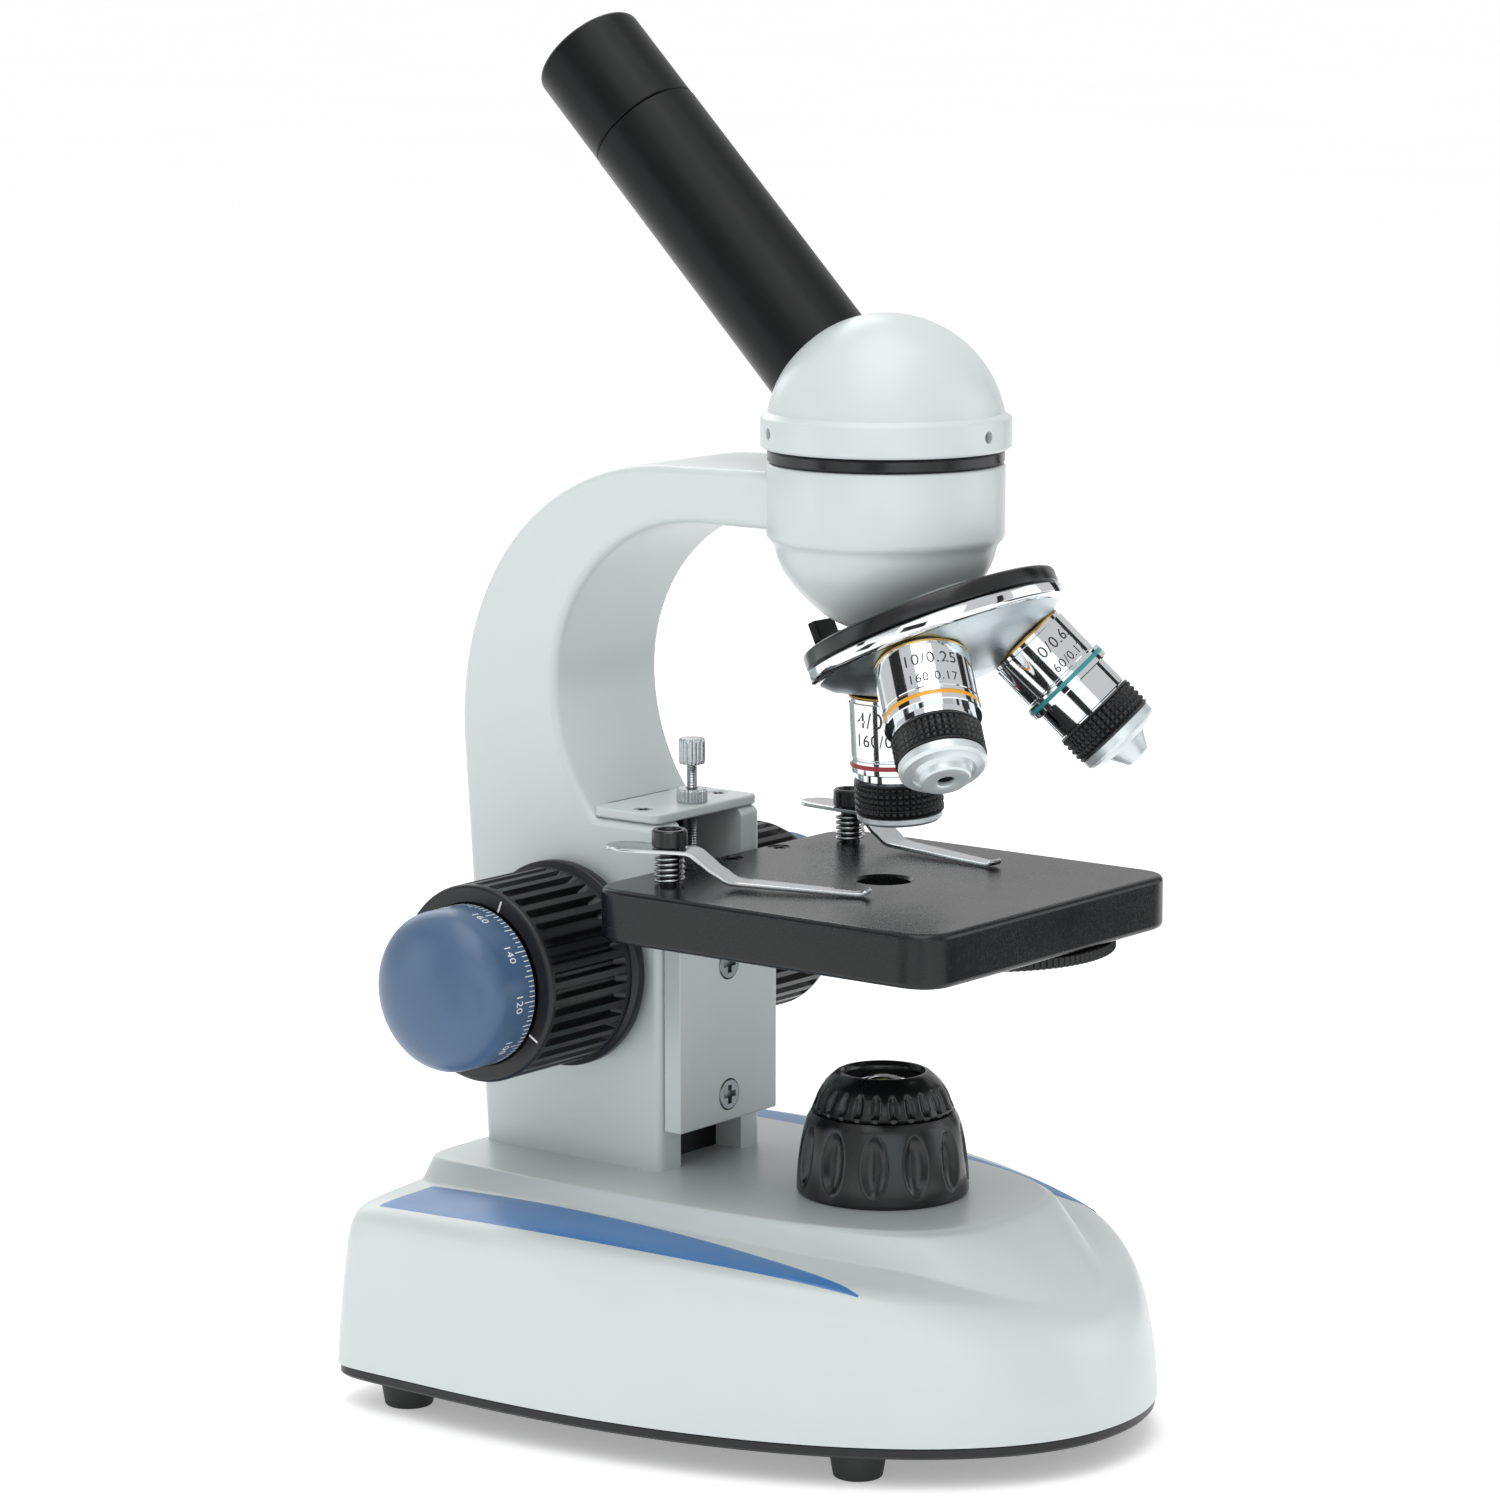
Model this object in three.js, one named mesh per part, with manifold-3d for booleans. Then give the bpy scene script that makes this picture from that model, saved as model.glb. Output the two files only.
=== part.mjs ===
// A student's monocular microscope: cast base and arm, inclined head, triple nosepiece,
// rack-driven stage with coaxial focus knobs, five-hole diaphragm and a lamp in the base.
// Millimetres, +Z up, -Y the front (the free edge of the stage), +Y the arm.
// The origin is on the table, under the middle of the object's box.

import * as THREE from 'three';
import { mergeVertices } from 'three/addons/utils/BufferGeometryUtils.js';
import Module from 'manifold-3d';

const wasm = await Module();
wasm.setup();

// ---- Driving dimensions ----

const GAP = 0.3;                 // between a piece and the neighbour that it sits in or on
const WELD = 1e-5;               // vertices closer than this are one
const OPTICAL_Y = -17;           // the vertical optical axis is x = 0, y = OPTICAL_Y

const FOOT = { height: 6.4, bottomRadius: 5.4, topRadius: 6.4 };
const FOOT_PLACES = [
  ['foot_rear_left', -58, 68.5],
  ['foot_rear_right', 58, 68.5],
  ['foot_front_left', -39.5, -40],
  ['foot_front_right', 39.5, -40],
];
const PLATE = { bottom: 6.5, top: 9 };
const BASE = { bottom: 9.1, halfWidth: 69, rear: 84.5, middle: 50, nose: -79.5, wall: 3 };
const SHOULDER = { crown: 45.2, crownY: 38, sag: 0.00055, dipStart: -42, dip: 7 };
const DECK = { top: 49.6, halfWidth: 37, rear: 82, middle: 55, nose: -50 };
const NOSE_POWER = 2.1;           // 2 would make the nose of the plan an ellipse
const STRIP = { lift: 0.12, thickness: 0.5 };
const BACK_PANEL = { z: 24, switchX: 17, inletX: -17 };

const LAMP = { bottomRadius: 18.6, bore: 11, seam: 67.6, lensRadius: 8, top: 76.2 };

const ARM = { halfWidth: 18, front: 30.2, bottom: 49.8, ledge: 126.6, bevel: 2.5 };
const CHANNEL = { halfWidth: 10.7, back: 51.5, floor: 54 };
const LIMIT = { thickness: 1.8, halfWidth: 17.8, front: 30.6, rear: 44.2, corner: 2.5 };
const LIMIT_SCREW = { y: 35.4, radius: 1.2, bore: 1.5, end: 118, head: 137.4, top: 143.2 };
const LIMIT_FASTENERS = [['stop_plate_screw_left', -13.2], ['stop_plate_screw_right', 13.2]];
const LIMIT_FASTENER = { y: 38.5, radius: 2.2, seat: 2.5, depth: 1.4 };

const FOCUS = { y: 55, z: 94, shaftRadius: 4, shaftEnd: 47.5, fineRadius: 2, fineEnd: 55 };
const PINION = { root: 3.5, tip: 4.3, teeth: 12, halfWidth: 4.5 };
const PINION_PITCH = Math.PI * (PINION.root + PINION.tip) / PINION.teeth;
const COARSE = { radius: 21.6, flange: 22.8, inner: 20, outer: 50.4, recess: 17, web: 44 };
const FINE = { radius: 17.5, inner: 50.7, shoulder: 60, crown: 68.5, boreEnd: 55.3 };

const STAGE = { halfSize: 45, top: 117.7, bottom: 106.2, skin: 4, skirt: 3, corner: 8, hole: 5.9 };
const STAGE_SCREWS = [['stage_screw_left', -17], ['stage_screw_mid', 0], ['stage_screw_right', 17]];
const STAGE_SCREW_Y = 24.4;
const SLIDE = { halfWidth: 17.1, front: 25.1, back: 29.7, bottom: 58.7, top: 113.4, flangeFront: 12 };
const SLIDE_SCREW_Z = { slide_screw_upper: 94.1, slide_screw_lower: 64.7 };
const BLOCK = { halfWidth: 10.2, front: 30, back: 44, bottom: 62, top: 112, rackHalfWidth: 4 };
const DISC = { x: 12.9, y: -33.6, radius: 28.6, bottom: 103.3, top: 105.9, holeCircle: 21.02 };
const DISC_HOLES = [4, 3, 2, 1.2, 0.6];
const CLIP = { x: 32, y: 16, springHeight: 6.8, sheet: 0.8, leftAngle: 17.5, rightAngle: -8.5 };

const HEAD = { radius: 25.2, bottom: 191.5, top: 207.2, bore: 7 };
const RING = { radius: 25.05, bottom: 207.4, top: 210.1, bore: 13 };
const DOME = { flangeRadius: 26.5, bottom: 210.4, flangeTop: 217.5, radius: 25.5, centre: 213.1, wall: 3 };
const TUBE = { z: 210.7, tilt: 45, radius: 12.6, bore: 11.95, start: 15, end: 91.4 };
const EYEPIECE = { radius: 12, barrelRadius: 11.6, barrelStart: 66, top: 115, lensRadius: 6 };

const NOSE = { apex: 200, tilt: 25, turn: 10 };
const NOSE_PLATE = { radius: 28, top: 26, bottom: 29.8, screwBore: 3.3 };
const TURRET = { radius: 28.5, top: 30.1, rim: 32.8, thread: 6.8 };
const SHOULDER_DISTANCE = 41.8;
const OBJECTIVES = [
  {
    name: 'objective_4x', turn: 0, radius: 10.2,
    barrel: 16.8, neck: 19, grip: 26.3, tip: 28.2, tipRadius: 5,
  },
  {
    name: 'objective_40x', turn: 120, radius: 9.3,
    barrel: 14.4, neck: 21, grip: 27.4, tip: 35, tipRadius: 3,
  },
  {
    name: 'objective_10x', turn: 240, radius: 10.2,
    barrel: 14.8, neck: 17.3, grip: 23.6, tip: 28.8, tipRadius: 4,
  },
];
const OBJECTIVE = {
  ringRadius: 10.3, ringWidth: 3, stepRadius: 9, gripRadius: 9.4, capRadius: 9, coreRadius: 8.4, bore: 2.5,
};

const SEGMENTS = { large: 30, medium: 20, small: 12, tiny: 6 };

// ---- Finishes ----

const ENAMEL = { color: '#e3e8e6', roughness: 0.42, metalness: 0 };
const BLUE = { color: '#4f79b3', roughness: 0.35, metalness: 0 };
const KNOB_BLUE = { color: '#3f5b80', roughness: 0.45, metalness: 0 };
const BLACK_PLASTIC = { color: '#1b1c1f', roughness: 0.5, metalness: 0 };
const BLACK_PAINT = { color: '#26272b', roughness: 0.45, metalness: 0.2 };
const RUBBER = { color: '#191a1c', roughness: 0.8, metalness: 0 };
const CHROME = { color: '#e8ebed', roughness: 0.08, metalness: 1 };
const NICKEL = { color: '#c2c8cb', roughness: 0.3, metalness: 1 };
const STEEL = { color: '#b4b8ba', roughness: 0.3, metalness: 1 };
const GLASS = { color: '#dfe9ee', roughness: 0.05, metalness: 0, transparent: true, opacity: 0.4 };

// ---- Solids ----

const radians = THREE.MathUtils.degToRad;

/** Places a geometry: rotation about X, then Y, then Z in degrees, then a shift. */
function placed(geometry, { x = 0, y = 0, z = 0, rx = 0, ry = 0, rz = 0 } = {}) {
  const turn = new THREE.Euler(radians(rx), radians(ry), radians(rz), 'ZYX');
  const matrix = new THREE.Matrix4().makeRotationFromEuler(turn).setPosition(x, y, z);
  return geometry.applyMatrix4(matrix);
}

/** Turns a closed geometry into a solid with its faces pointing out. */
function solid(geometry, place) {
  const bare = placed(geometry.clone(), place);
  bare.deleteAttribute('normal');
  bare.deleteAttribute('uv');
  const merged = mergeVertices(bare, WELD);
  const points = merged.getAttribute('position');
  const corners = merged.getIndex().array;
  const triangles = [];
  let volume = 0;
  const [a, b, c] = [new THREE.Vector3(), new THREE.Vector3(), new THREE.Vector3()];
  for (let i = 0; i < corners.length; i += 3) {
    const [i0, i1, i2] = [corners[i], corners[i + 1], corners[i + 2]];
    if (i0 === i1 || i1 === i2 || i2 === i0) continue;
    triangles.push([i0, i1, i2]);
    a.fromBufferAttribute(points, i0);
    b.fromBufferAttribute(points, i1);
    c.fromBufferAttribute(points, i2);
    volume += a.dot(b.cross(c));
  }
  if (volume < 0) triangles.forEach((triangle) => triangle.reverse());
  const vertProperties = new Float32Array(points.array);
  const triVerts = new Uint32Array(triangles.flat());
  return new wasm.Manifold(new wasm.Mesh({ numProp: 3, vertProperties, triVerts }));
}

const join = (first, ...others) => others.reduce((sum, other) => sum.add(other), first);
const cut = (first, ...tools) => tools.reduce((left, tool) => left.subtract(tool), first);

/** Solid of revolution about Z. The profile lists [radius, z] and ends on the axis or closes on itself. */
function turned(profile, segments, place) {
  const points = profile.map(([radius, z]) => new THREE.Vector2(radius, z));
  const geometry = new THREE.LatheGeometry(points, segments).rotateX(Math.PI / 2);
  return solid(geometry, place);
}

/** Ring about Z between two radii. */
function sleeve(inner, outer, bottom, top, segments, place) {
  const profile = [[inner, bottom], [outer, bottom], [outer, top], [inner, top], [inner, bottom]];
  return turned(profile, segments, place);
}

/** Cylinder about Z. */
function rod(radius, bottom, top, segments, place) {
  return turned([[0, bottom], [radius, bottom], [radius, top], [0, top]], segments, place);
}

/** Box between two corners. */
function block([x0, y0, z0], [x1, y1, z1]) {
  const geometry = new THREE.BoxGeometry(x1 - x0, y1 - y0, z1 - z0);
  return solid(geometry, { x: (x0 + x1) / 2, y: (y0 + y1) / 2, z: (z0 + z1) / 2 });
}

/** Outline pushed along Z, its edges rounded inside the outline and the depth. */
function pushed(shape, depth, bevel, place) {
  const settings = {
    depth: depth - 2 * bevel,
    curveSegments: 6,
    bevelEnabled: bevel > 0,
    bevelSize: bevel,
    bevelThickness: bevel,
    bevelOffset: -bevel,
    bevelSegments: 1,
  };
  const geometry = new THREE.ExtrudeGeometry(shape, settings);
  geometry.translate(0, 0, bevel);
  return solid(geometry, place);
}

/** Closed skin through rings of points, each ring with the same count and going the same way round. */
function lofted(rings) {
  const count = rings[0].length;
  const positions = rings.flat().flatMap((point) => point.toArray());
  const index = [];
  for (let ring = 0; ring < rings.length - 1; ring += 1) {
    for (let i = 0; i < count; i += 1) {
      const a = ring * count + i;
      const b = ring * count + (i + 1) % count;
      index.push(a, b, b + count, a, b + count, a + count);
    }
  }
  const flat = (ring) => ring.map((point) => new THREE.Vector2(point.x, point.y));
  const lastStart = (rings.length - 1) * count;
  for (const [a, b, c] of THREE.ShapeUtils.triangulateShape(flat(rings[0]), [])) index.push(a, c, b);
  for (const [a, b, c] of THREE.ShapeUtils.triangulateShape(flat(rings.at(-1)), [])) {
    index.push(lastStart + a, lastStart + b, lastStart + c);
  }
  const geometry = new THREE.BufferGeometry();
  geometry.setAttribute('position', new THREE.Float32BufferAttribute(positions, 3));
  geometry.setIndex(index);
  return solid(geometry);
}

/** Rectangle centred on a point, with rounded corners. */
function roundedRectangle(halfX, halfY, corner, centreX = 0, centreY = 0) {
  const [left, right] = [centreX - halfX, centreX + halfX];
  const [low, high] = [centreY - halfY, centreY + halfY];
  const shape = new THREE.Shape();
  shape.moveTo(left + corner, low);
  shape.lineTo(right - corner, low);
  shape.absarc(right - corner, low + corner, corner, -Math.PI / 2, 0);
  shape.lineTo(right, high - corner);
  shape.absarc(right - corner, high - corner, corner, 0, Math.PI / 2);
  shape.lineTo(left + corner, high);
  shape.absarc(left + corner, high - corner, corner, Math.PI / 2, Math.PI);
  shape.lineTo(left, low + corner);
  shape.absarc(left + corner, low + corner, corner, Math.PI, 1.5 * Math.PI);
  return shape;
}

// ---- Scene graph ----

const microscope = new THREE.Group();

/** Adds a solid to a group as a named mesh. */
function addPiece(name, finish, shape, parent = microscope) {
  const { vertProperties, triVerts, numProp } = shape.getMesh();
  const geometry = new THREE.BufferGeometry();
  const interleaved = new THREE.InterleavedBuffer(vertProperties, numProp);
  geometry.setAttribute('position', new THREE.InterleavedBufferAttribute(interleaved, 3, 0));
  geometry.setIndex(new THREE.BufferAttribute(triVerts, 1));
  const flat = geometry.toNonIndexed();
  flat.computeVertexNormals();
  const mesh = new THREE.Mesh(flat, new THREE.MeshStandardMaterial(finish));
  mesh.name = name;
  parent.add(mesh);
  return mesh;
}

/** Adds an empty group at a place, turned in degrees. */
function addGroup(parent, { x = 0, y = 0, z = 0, rx = 0, rz = 0 }) {
  const group = new THREE.Group();
  group.position.set(x, y, z);
  group.rotation.set(radians(rx), 0, radians(rz));
  parent.add(group);
  return group;
}

// ---- Base ----

/** Height of the base's shoulder: a shallow arch along the base that dips at the nose. */
function shoulderHeight(y) {
  const { crown, crownY, sag, dipStart, dip } = SHOULDER;
  const noseShare = Math.max(0, dipStart - y) / (dipStart - BASE.nose);
  return crown - sag * (y - crownY) ** 2 - dip * noseShare ** 1.5;
}

/** Ring of an oval plan that is nearly square at the rear and round at the nose. */
function planRing({ halfWidth, rear, middle, nose }, nosePower, heightAt) {
  const count = 44;
  const rearPower = 12;
  const ring = [];
  for (let i = 0; i < count; i += 1) {
    const angle = 2 * Math.PI * i / count;
    const [across, along] = [Math.cos(angle), Math.sin(angle)];
    const power = along > 0 ? rearPower : nosePower;
    const reach = along > 0 ? rear - middle : middle - nose;
    const x = halfWidth * Math.sign(across) * Math.abs(across) ** (2 / power);
    const y = middle + reach * Math.sign(along) * Math.abs(along) ** (2 / power);
    ring.push(new THREE.Vector3(x, y, heightAt(y)));
  }
  return ring;
}

/** The base's outer skin from bottom to deck. A lift raises all of it but the bottom's plan. */
function baseSkin(lift = 0) {
  const plan = (inset, rearInset, noseInset) => ({
    halfWidth: BASE.halfWidth - inset,
    rear: BASE.rear - rearInset,
    middle: BASE.middle,
    nose: BASE.nose + noseInset,
  });
  const below = (drop) => (y) => {
    const noseShare = THREE.MathUtils.smoothstep(-y, 0, -BASE.nose);
    return shoulderHeight(y) - drop * (1 + noseShare) + lift;
  };
  const deckPlan = (outset, noseOutset) => ({
    halfWidth: DECK.halfWidth + outset,
    rear: DECK.rear + outset * 0.08,
    middle: DECK.middle,
    nose: DECK.nose - noseOutset,
  });
  const level = (z) => () => z + lift;
  return lofted([
    planRing(plan(0, 0, 0), NOSE_POWER, level(BASE.bottom)),
    planRing(plan(2, 1.8, 1.8), NOSE_POWER, below(7)),
    planRing(plan(2.8, 2, 3), NOSE_POWER, below(3.6)),
    planRing(plan(4.6, 2.2, 5.2), NOSE_POWER, below(1.4)),
    planRing(plan(7.8, 2.3, 8.6), NOSE_POWER, below(0.3)),
    planRing(deckPlan(5, 18), 2.5, (y) => shoulderHeight(y) + 0.5 + lift),
    planRing(deckPlan(2.8, 12), 2.7, (y) => (shoulderHeight(y) + DECK.top) / 2 + lift),
    planRing(deckPlan(1, 1.5), 3, level(DECK.top - 0.9)),
    planRing(deckPlan(-0.6, -1), 3, level(DECK.top)),
  ]);
}

/** Outline of the left trim strip, seen from above. */
function stripShape() {
  const shape = new THREE.Shape();
  shape.moveTo(-61, 74);
  shape.bezierCurveTo(-60.5, 35, -57, -8, -44.6, -41);
  shape.quadraticCurveTo(-43.7, -43.4, -42.8, -41);
  shape.bezierCurveTo(-42, -10, -41, 40, -43, 74);
  return shape;
}

function buildBase() {
  const cavity = (inset, z) => planRing({
    halfWidth: BASE.halfWidth - inset,
    rear: BASE.rear - inset,
    middle: BASE.middle,
    nose: BASE.nose + inset,
  }, NOSE_POWER, () => z);
  const hollow = lofted([cavity(BASE.wall, BASE.bottom - 1), cavity(5, 23), cavity(13, 28)]);
  const switchHole = block([BACK_PANEL.switchX - 7, 70, BACK_PANEL.z - 5],
    [BACK_PANEL.switchX + 7, 90, BACK_PANEL.z + 5]);
  const inletHole = rod(5.6, -90, -70, SEGMENTS.small, { x: BACK_PANEL.inletX, z: BACK_PANEL.z, rx: 90 });
  addPiece('base_shell', ENAMEL, cut(baseSkin(), hollow, switchHole, inletHole));

  const { halfWidth, rear, middle, nose } = BASE;
  const platePlan = { halfWidth: halfWidth - 0.5, rear: rear - 0.5, middle, nose: nose + 0.5 };
  const plate = lofted([
    planRing(platePlan, NOSE_POWER, () => PLATE.bottom),
    planRing(platePlan, NOSE_POWER, () => PLATE.top),
  ]);
  addPiece('bottom_plate', BLACK_PLASTIC, plate);

  for (const [name, x, y] of FOOT_PLACES) {
    const profile = [[0, 0], [FOOT.bottomRadius, 0], [FOOT.topRadius, FOOT.height], [0, FOOT.height]];
    addPiece(name, RUBBER, turned(profile, SEGMENTS.small)).position.set(x, y, 0);
  }

  const band = pushed(stripShape(), 40, 0, { z: 25 });
  const leftStrip = cut(band.intersect(baseSkin(STRIP.lift + STRIP.thickness)), baseSkin(STRIP.lift));
  addPiece('strip_left', BLUE, leftStrip);
  addPiece('strip_right', BLUE, leftStrip.mirror([1, 0, 0]));
}

function buildPowerEntry() {
  const rocker = new THREE.Shape();
  rocker.moveTo(-3, -3.4);
  rocker.lineTo(0.8, -4.4);
  rocker.lineTo(0.2, 0);
  rocker.lineTo(2, 4.2);
  rocker.lineTo(-3, 3.4);
  // The outline's X runs along the object's Y and its Y along Z.
  const body = pushed(rocker, 13, 0, { x: -6.5, rx: 90, rz: 90 });
  const lever = addPiece('switch_rocker', BLACK_PLASTIC, body);
  lever.position.set(BACK_PANEL.switchX, BASE.rear - 1.3, BACK_PANEL.z);

  const barrel = [[2.6, 0], [5.2, 0], [5.2, 11], [6.6, 11], [6.6, 12.4], [2.6, 12.4], [2.6, 0]];
  const floor = rod(2.9, 0, 2, SEGMENTS.small);
  const pin = rod(0.9, 1, 11, SEGMENTS.tiny);
  const inlet = addPiece('power_inlet', BLACK_PLASTIC, join(turned(barrel, SEGMENTS.small), floor, pin));
  inlet.rotation.x = -Math.PI / 2;
  inlet.position.set(BACK_PANEL.inletX, BASE.rear - 11.4, BACK_PANEL.z);
}

// ---- Lamp ----

function buildLamp() {
  const lamp = addGroup(microscope, { y: OPTICAL_Y });
  const floor = DECK.top + 0.1;
  const housing = [
    [LAMP.bore, floor], [LAMP.bottomRadius, floor], [18.4, 54.9], [17.8, 60.3], [16.7, 65.1],
    [15.4, LAMP.seam - 0.1], [LAMP.bore, LAMP.seam - 0.1], [LAMP.bore, floor],
  ];
  addPiece('lamp_housing', BLACK_PLASTIC, turned(housing, SEGMENTS.large), lamp);
  const bore = LAMP.lensRadius + GAP;
  const cap = [
    [bore, LAMP.seam + 0.1], [15.3, LAMP.seam + 0.1], [13.9, 71.6], [12.2, 74.3], [10.6, 75.7],
    [9.4, LAMP.top], [bore, 75.5], [bore, LAMP.seam + 0.1],
  ];
  addPiece('lamp_cap', BLACK_PLASTIC, turned(cap, SEGMENTS.large), lamp);
  const lens = [[0, 70], [LAMP.lensRadius, 70], [LAMP.lensRadius, 72.8], [6, 74.1], [3, 74.9], [0, 75.2]];
  addPiece('lamp_lens', GLASS, turned(lens, SEGMENTS.medium), lamp);
  const board = [
    [0, floor], [10.5, floor], [10.5, floor + 1.6], [3, floor + 1.6], [3, floor + 3.4],
    [2, floor + 4.6], [0, floor + 5],
  ];
  addPiece('lamp_board', BLACK_PLASTIC, turned(board, SEGMENTS.small), lamp);
}

// ---- Arm ----

/** Side view of the arm: X of the shape is the object's Y, Y of the shape is Z. */
function armShape() {
  const shape = new THREE.Shape();
  shape.moveTo(ARM.front, ARM.bottom);
  shape.lineTo(80.5, ARM.bottom);
  shape.lineTo(86.8, 142);
  shape.bezierCurveTo(87.8, 181, 60, 204.8, 30, 204.8);
  shape.lineTo(-12, 205.6);
  shape.lineTo(-12, 193);
  shape.lineTo(20, 193);
  shape.bezierCurveTo(42, 193, 59.4, 176, 59.4, 155);
  shape.bezierCurveTo(59.4, 146, 56.5, 136, 50, 128);
  shape.lineTo(48.5, ARM.ledge);
  shape.lineTo(ARM.front, ARM.ledge);
  return shape;
}

/** The head's cylinder and its bowl, about the optical axis. */
function headBowl() {
  const profile = [
    [0, HEAD.top], [HEAD.radius, HEAD.top], [HEAD.radius, HEAD.bottom], [23.7, 190.6], [23.1, 188],
    [21.5, 184], [19.3, 181], [16.9, 178.4], [13.2, 175.2], [9.5, 173], [5, 171.6], [0, 171.2],
  ];
  const apex = { z: NOSE.apex, rx: 180 - NOSE.tilt };
  const neck = rod(12.5, 14, NOSE_PLATE.top, SEGMENTS.medium, apex);
  const beyond = rod(3 * HEAD.radius, NOSE_PLATE.top - GAP, 2 * NOSE_PLATE.top, SEGMENTS.tiny, apex);
  return cut(join(turned(profile, SEGMENTS.large), neck), beyond).translate([0, OPTICAL_Y, 0]);
}

function buildArm() {
  const limb = pushed(armShape(), 2 * ARM.halfWidth, ARM.bevel, { x: -ARM.halfWidth, rx: 90, rz: 90 });
  const channel = block([-CHANNEL.halfWidth, ARM.front - 1, CHANNEL.floor],
    [CHANNEL.halfWidth, CHANNEL.back, ARM.ledge + 1]);
  const channelFoot = block([-CHANNEL.halfWidth, ARM.front - 1, ARM.bottom - 1],
    [CHANNEL.halfWidth, 38, CHANNEL.floor + 1]);
  const acrossArm = { y: FOCUS.y, z: FOCUS.z, ry: 90 };
  const shaftBore = rod(FOCUS.shaftRadius + GAP, -30, 30, SEGMENTS.small, acrossArm);
  const pinionPocket = rod(PINION.tip + 1, -6, 6, SEGMENTS.small, acrossArm);
  // Light passes up from the objective to the head through this bore.
  const lightBore = rod(HEAD.bore, 160, 220, SEGMENTS.medium, { y: OPTICAL_Y });
  const casting = cut(join(limb, headBowl()), channel, channelFoot, shaftBore, pinionPocket, lightBore);
  addPiece('arm', ENAMEL, casting);
}

/** Flat-head screw about Z, its head's face at z = 0. */
function screw(headRadius, headHeight, shankRadius, length) {
  const profile = [
    [0, 0], [headRadius, 0], [headRadius, -headHeight / 2], [shankRadius, -headHeight],
    [shankRadius, -length], [0, -length],
  ];
  return turned(profile, SEGMENTS.small);
}

function buildStop() {
  const bottom = ARM.ledge + 0.1;
  const top = bottom + LIMIT.thickness;
  const half = (LIMIT.rear - LIMIT.front) / 2;
  const outline = roundedRectangle(LIMIT.halfWidth, half, LIMIT.corner, 0, LIMIT.front + half);
  const plate = pushed(outline, LIMIT.thickness, 0, { z: bottom });
  const seats = LIMIT_FASTENERS.map(([, x]) => (
    rod(LIMIT_FASTENER.seat, top - LIMIT_FASTENER.depth, top + 1, SEGMENTS.small, { x, y: LIMIT_FASTENER.y })
  ));
  const hole = rod(LIMIT_SCREW.bore, bottom - 1, top + 1, SEGMENTS.small, { y: LIMIT_SCREW.y });
  addPiece('stop_plate', ENAMEL, cut(plate, ...seats, hole));
  for (const [name, x] of LIMIT_FASTENERS) {
    const head = rod(LIMIT_FASTENER.radius, GAP - LIMIT_FASTENER.depth, 0, SEGMENTS.small);
    addPiece(name, STEEL, head).position.set(x, LIMIT_FASTENER.y, top - 0.1);
  }
  const nut = sleeve(LIMIT_SCREW.bore, 3.1, top + 0.1, top + 3.4, SEGMENTS.small);
  addPiece('stop_nut', STEEL, nut).position.set(0, LIMIT_SCREW.y, 0);
  const { radius, end, head, top: headTop } = LIMIT_SCREW;
  const stem = [
    [0, end], [radius, end], [radius, head], [2.8, head + 0.4], [2.8, headTop - 0.4], [2.4, headTop],
    [0, headTop],
  ];
  addPiece('stop_screw', STEEL, turned(stem, SEGMENTS.small)).position.set(0, LIMIT_SCREW.y, 0);
}

// ---- Focus drive ----

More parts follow.
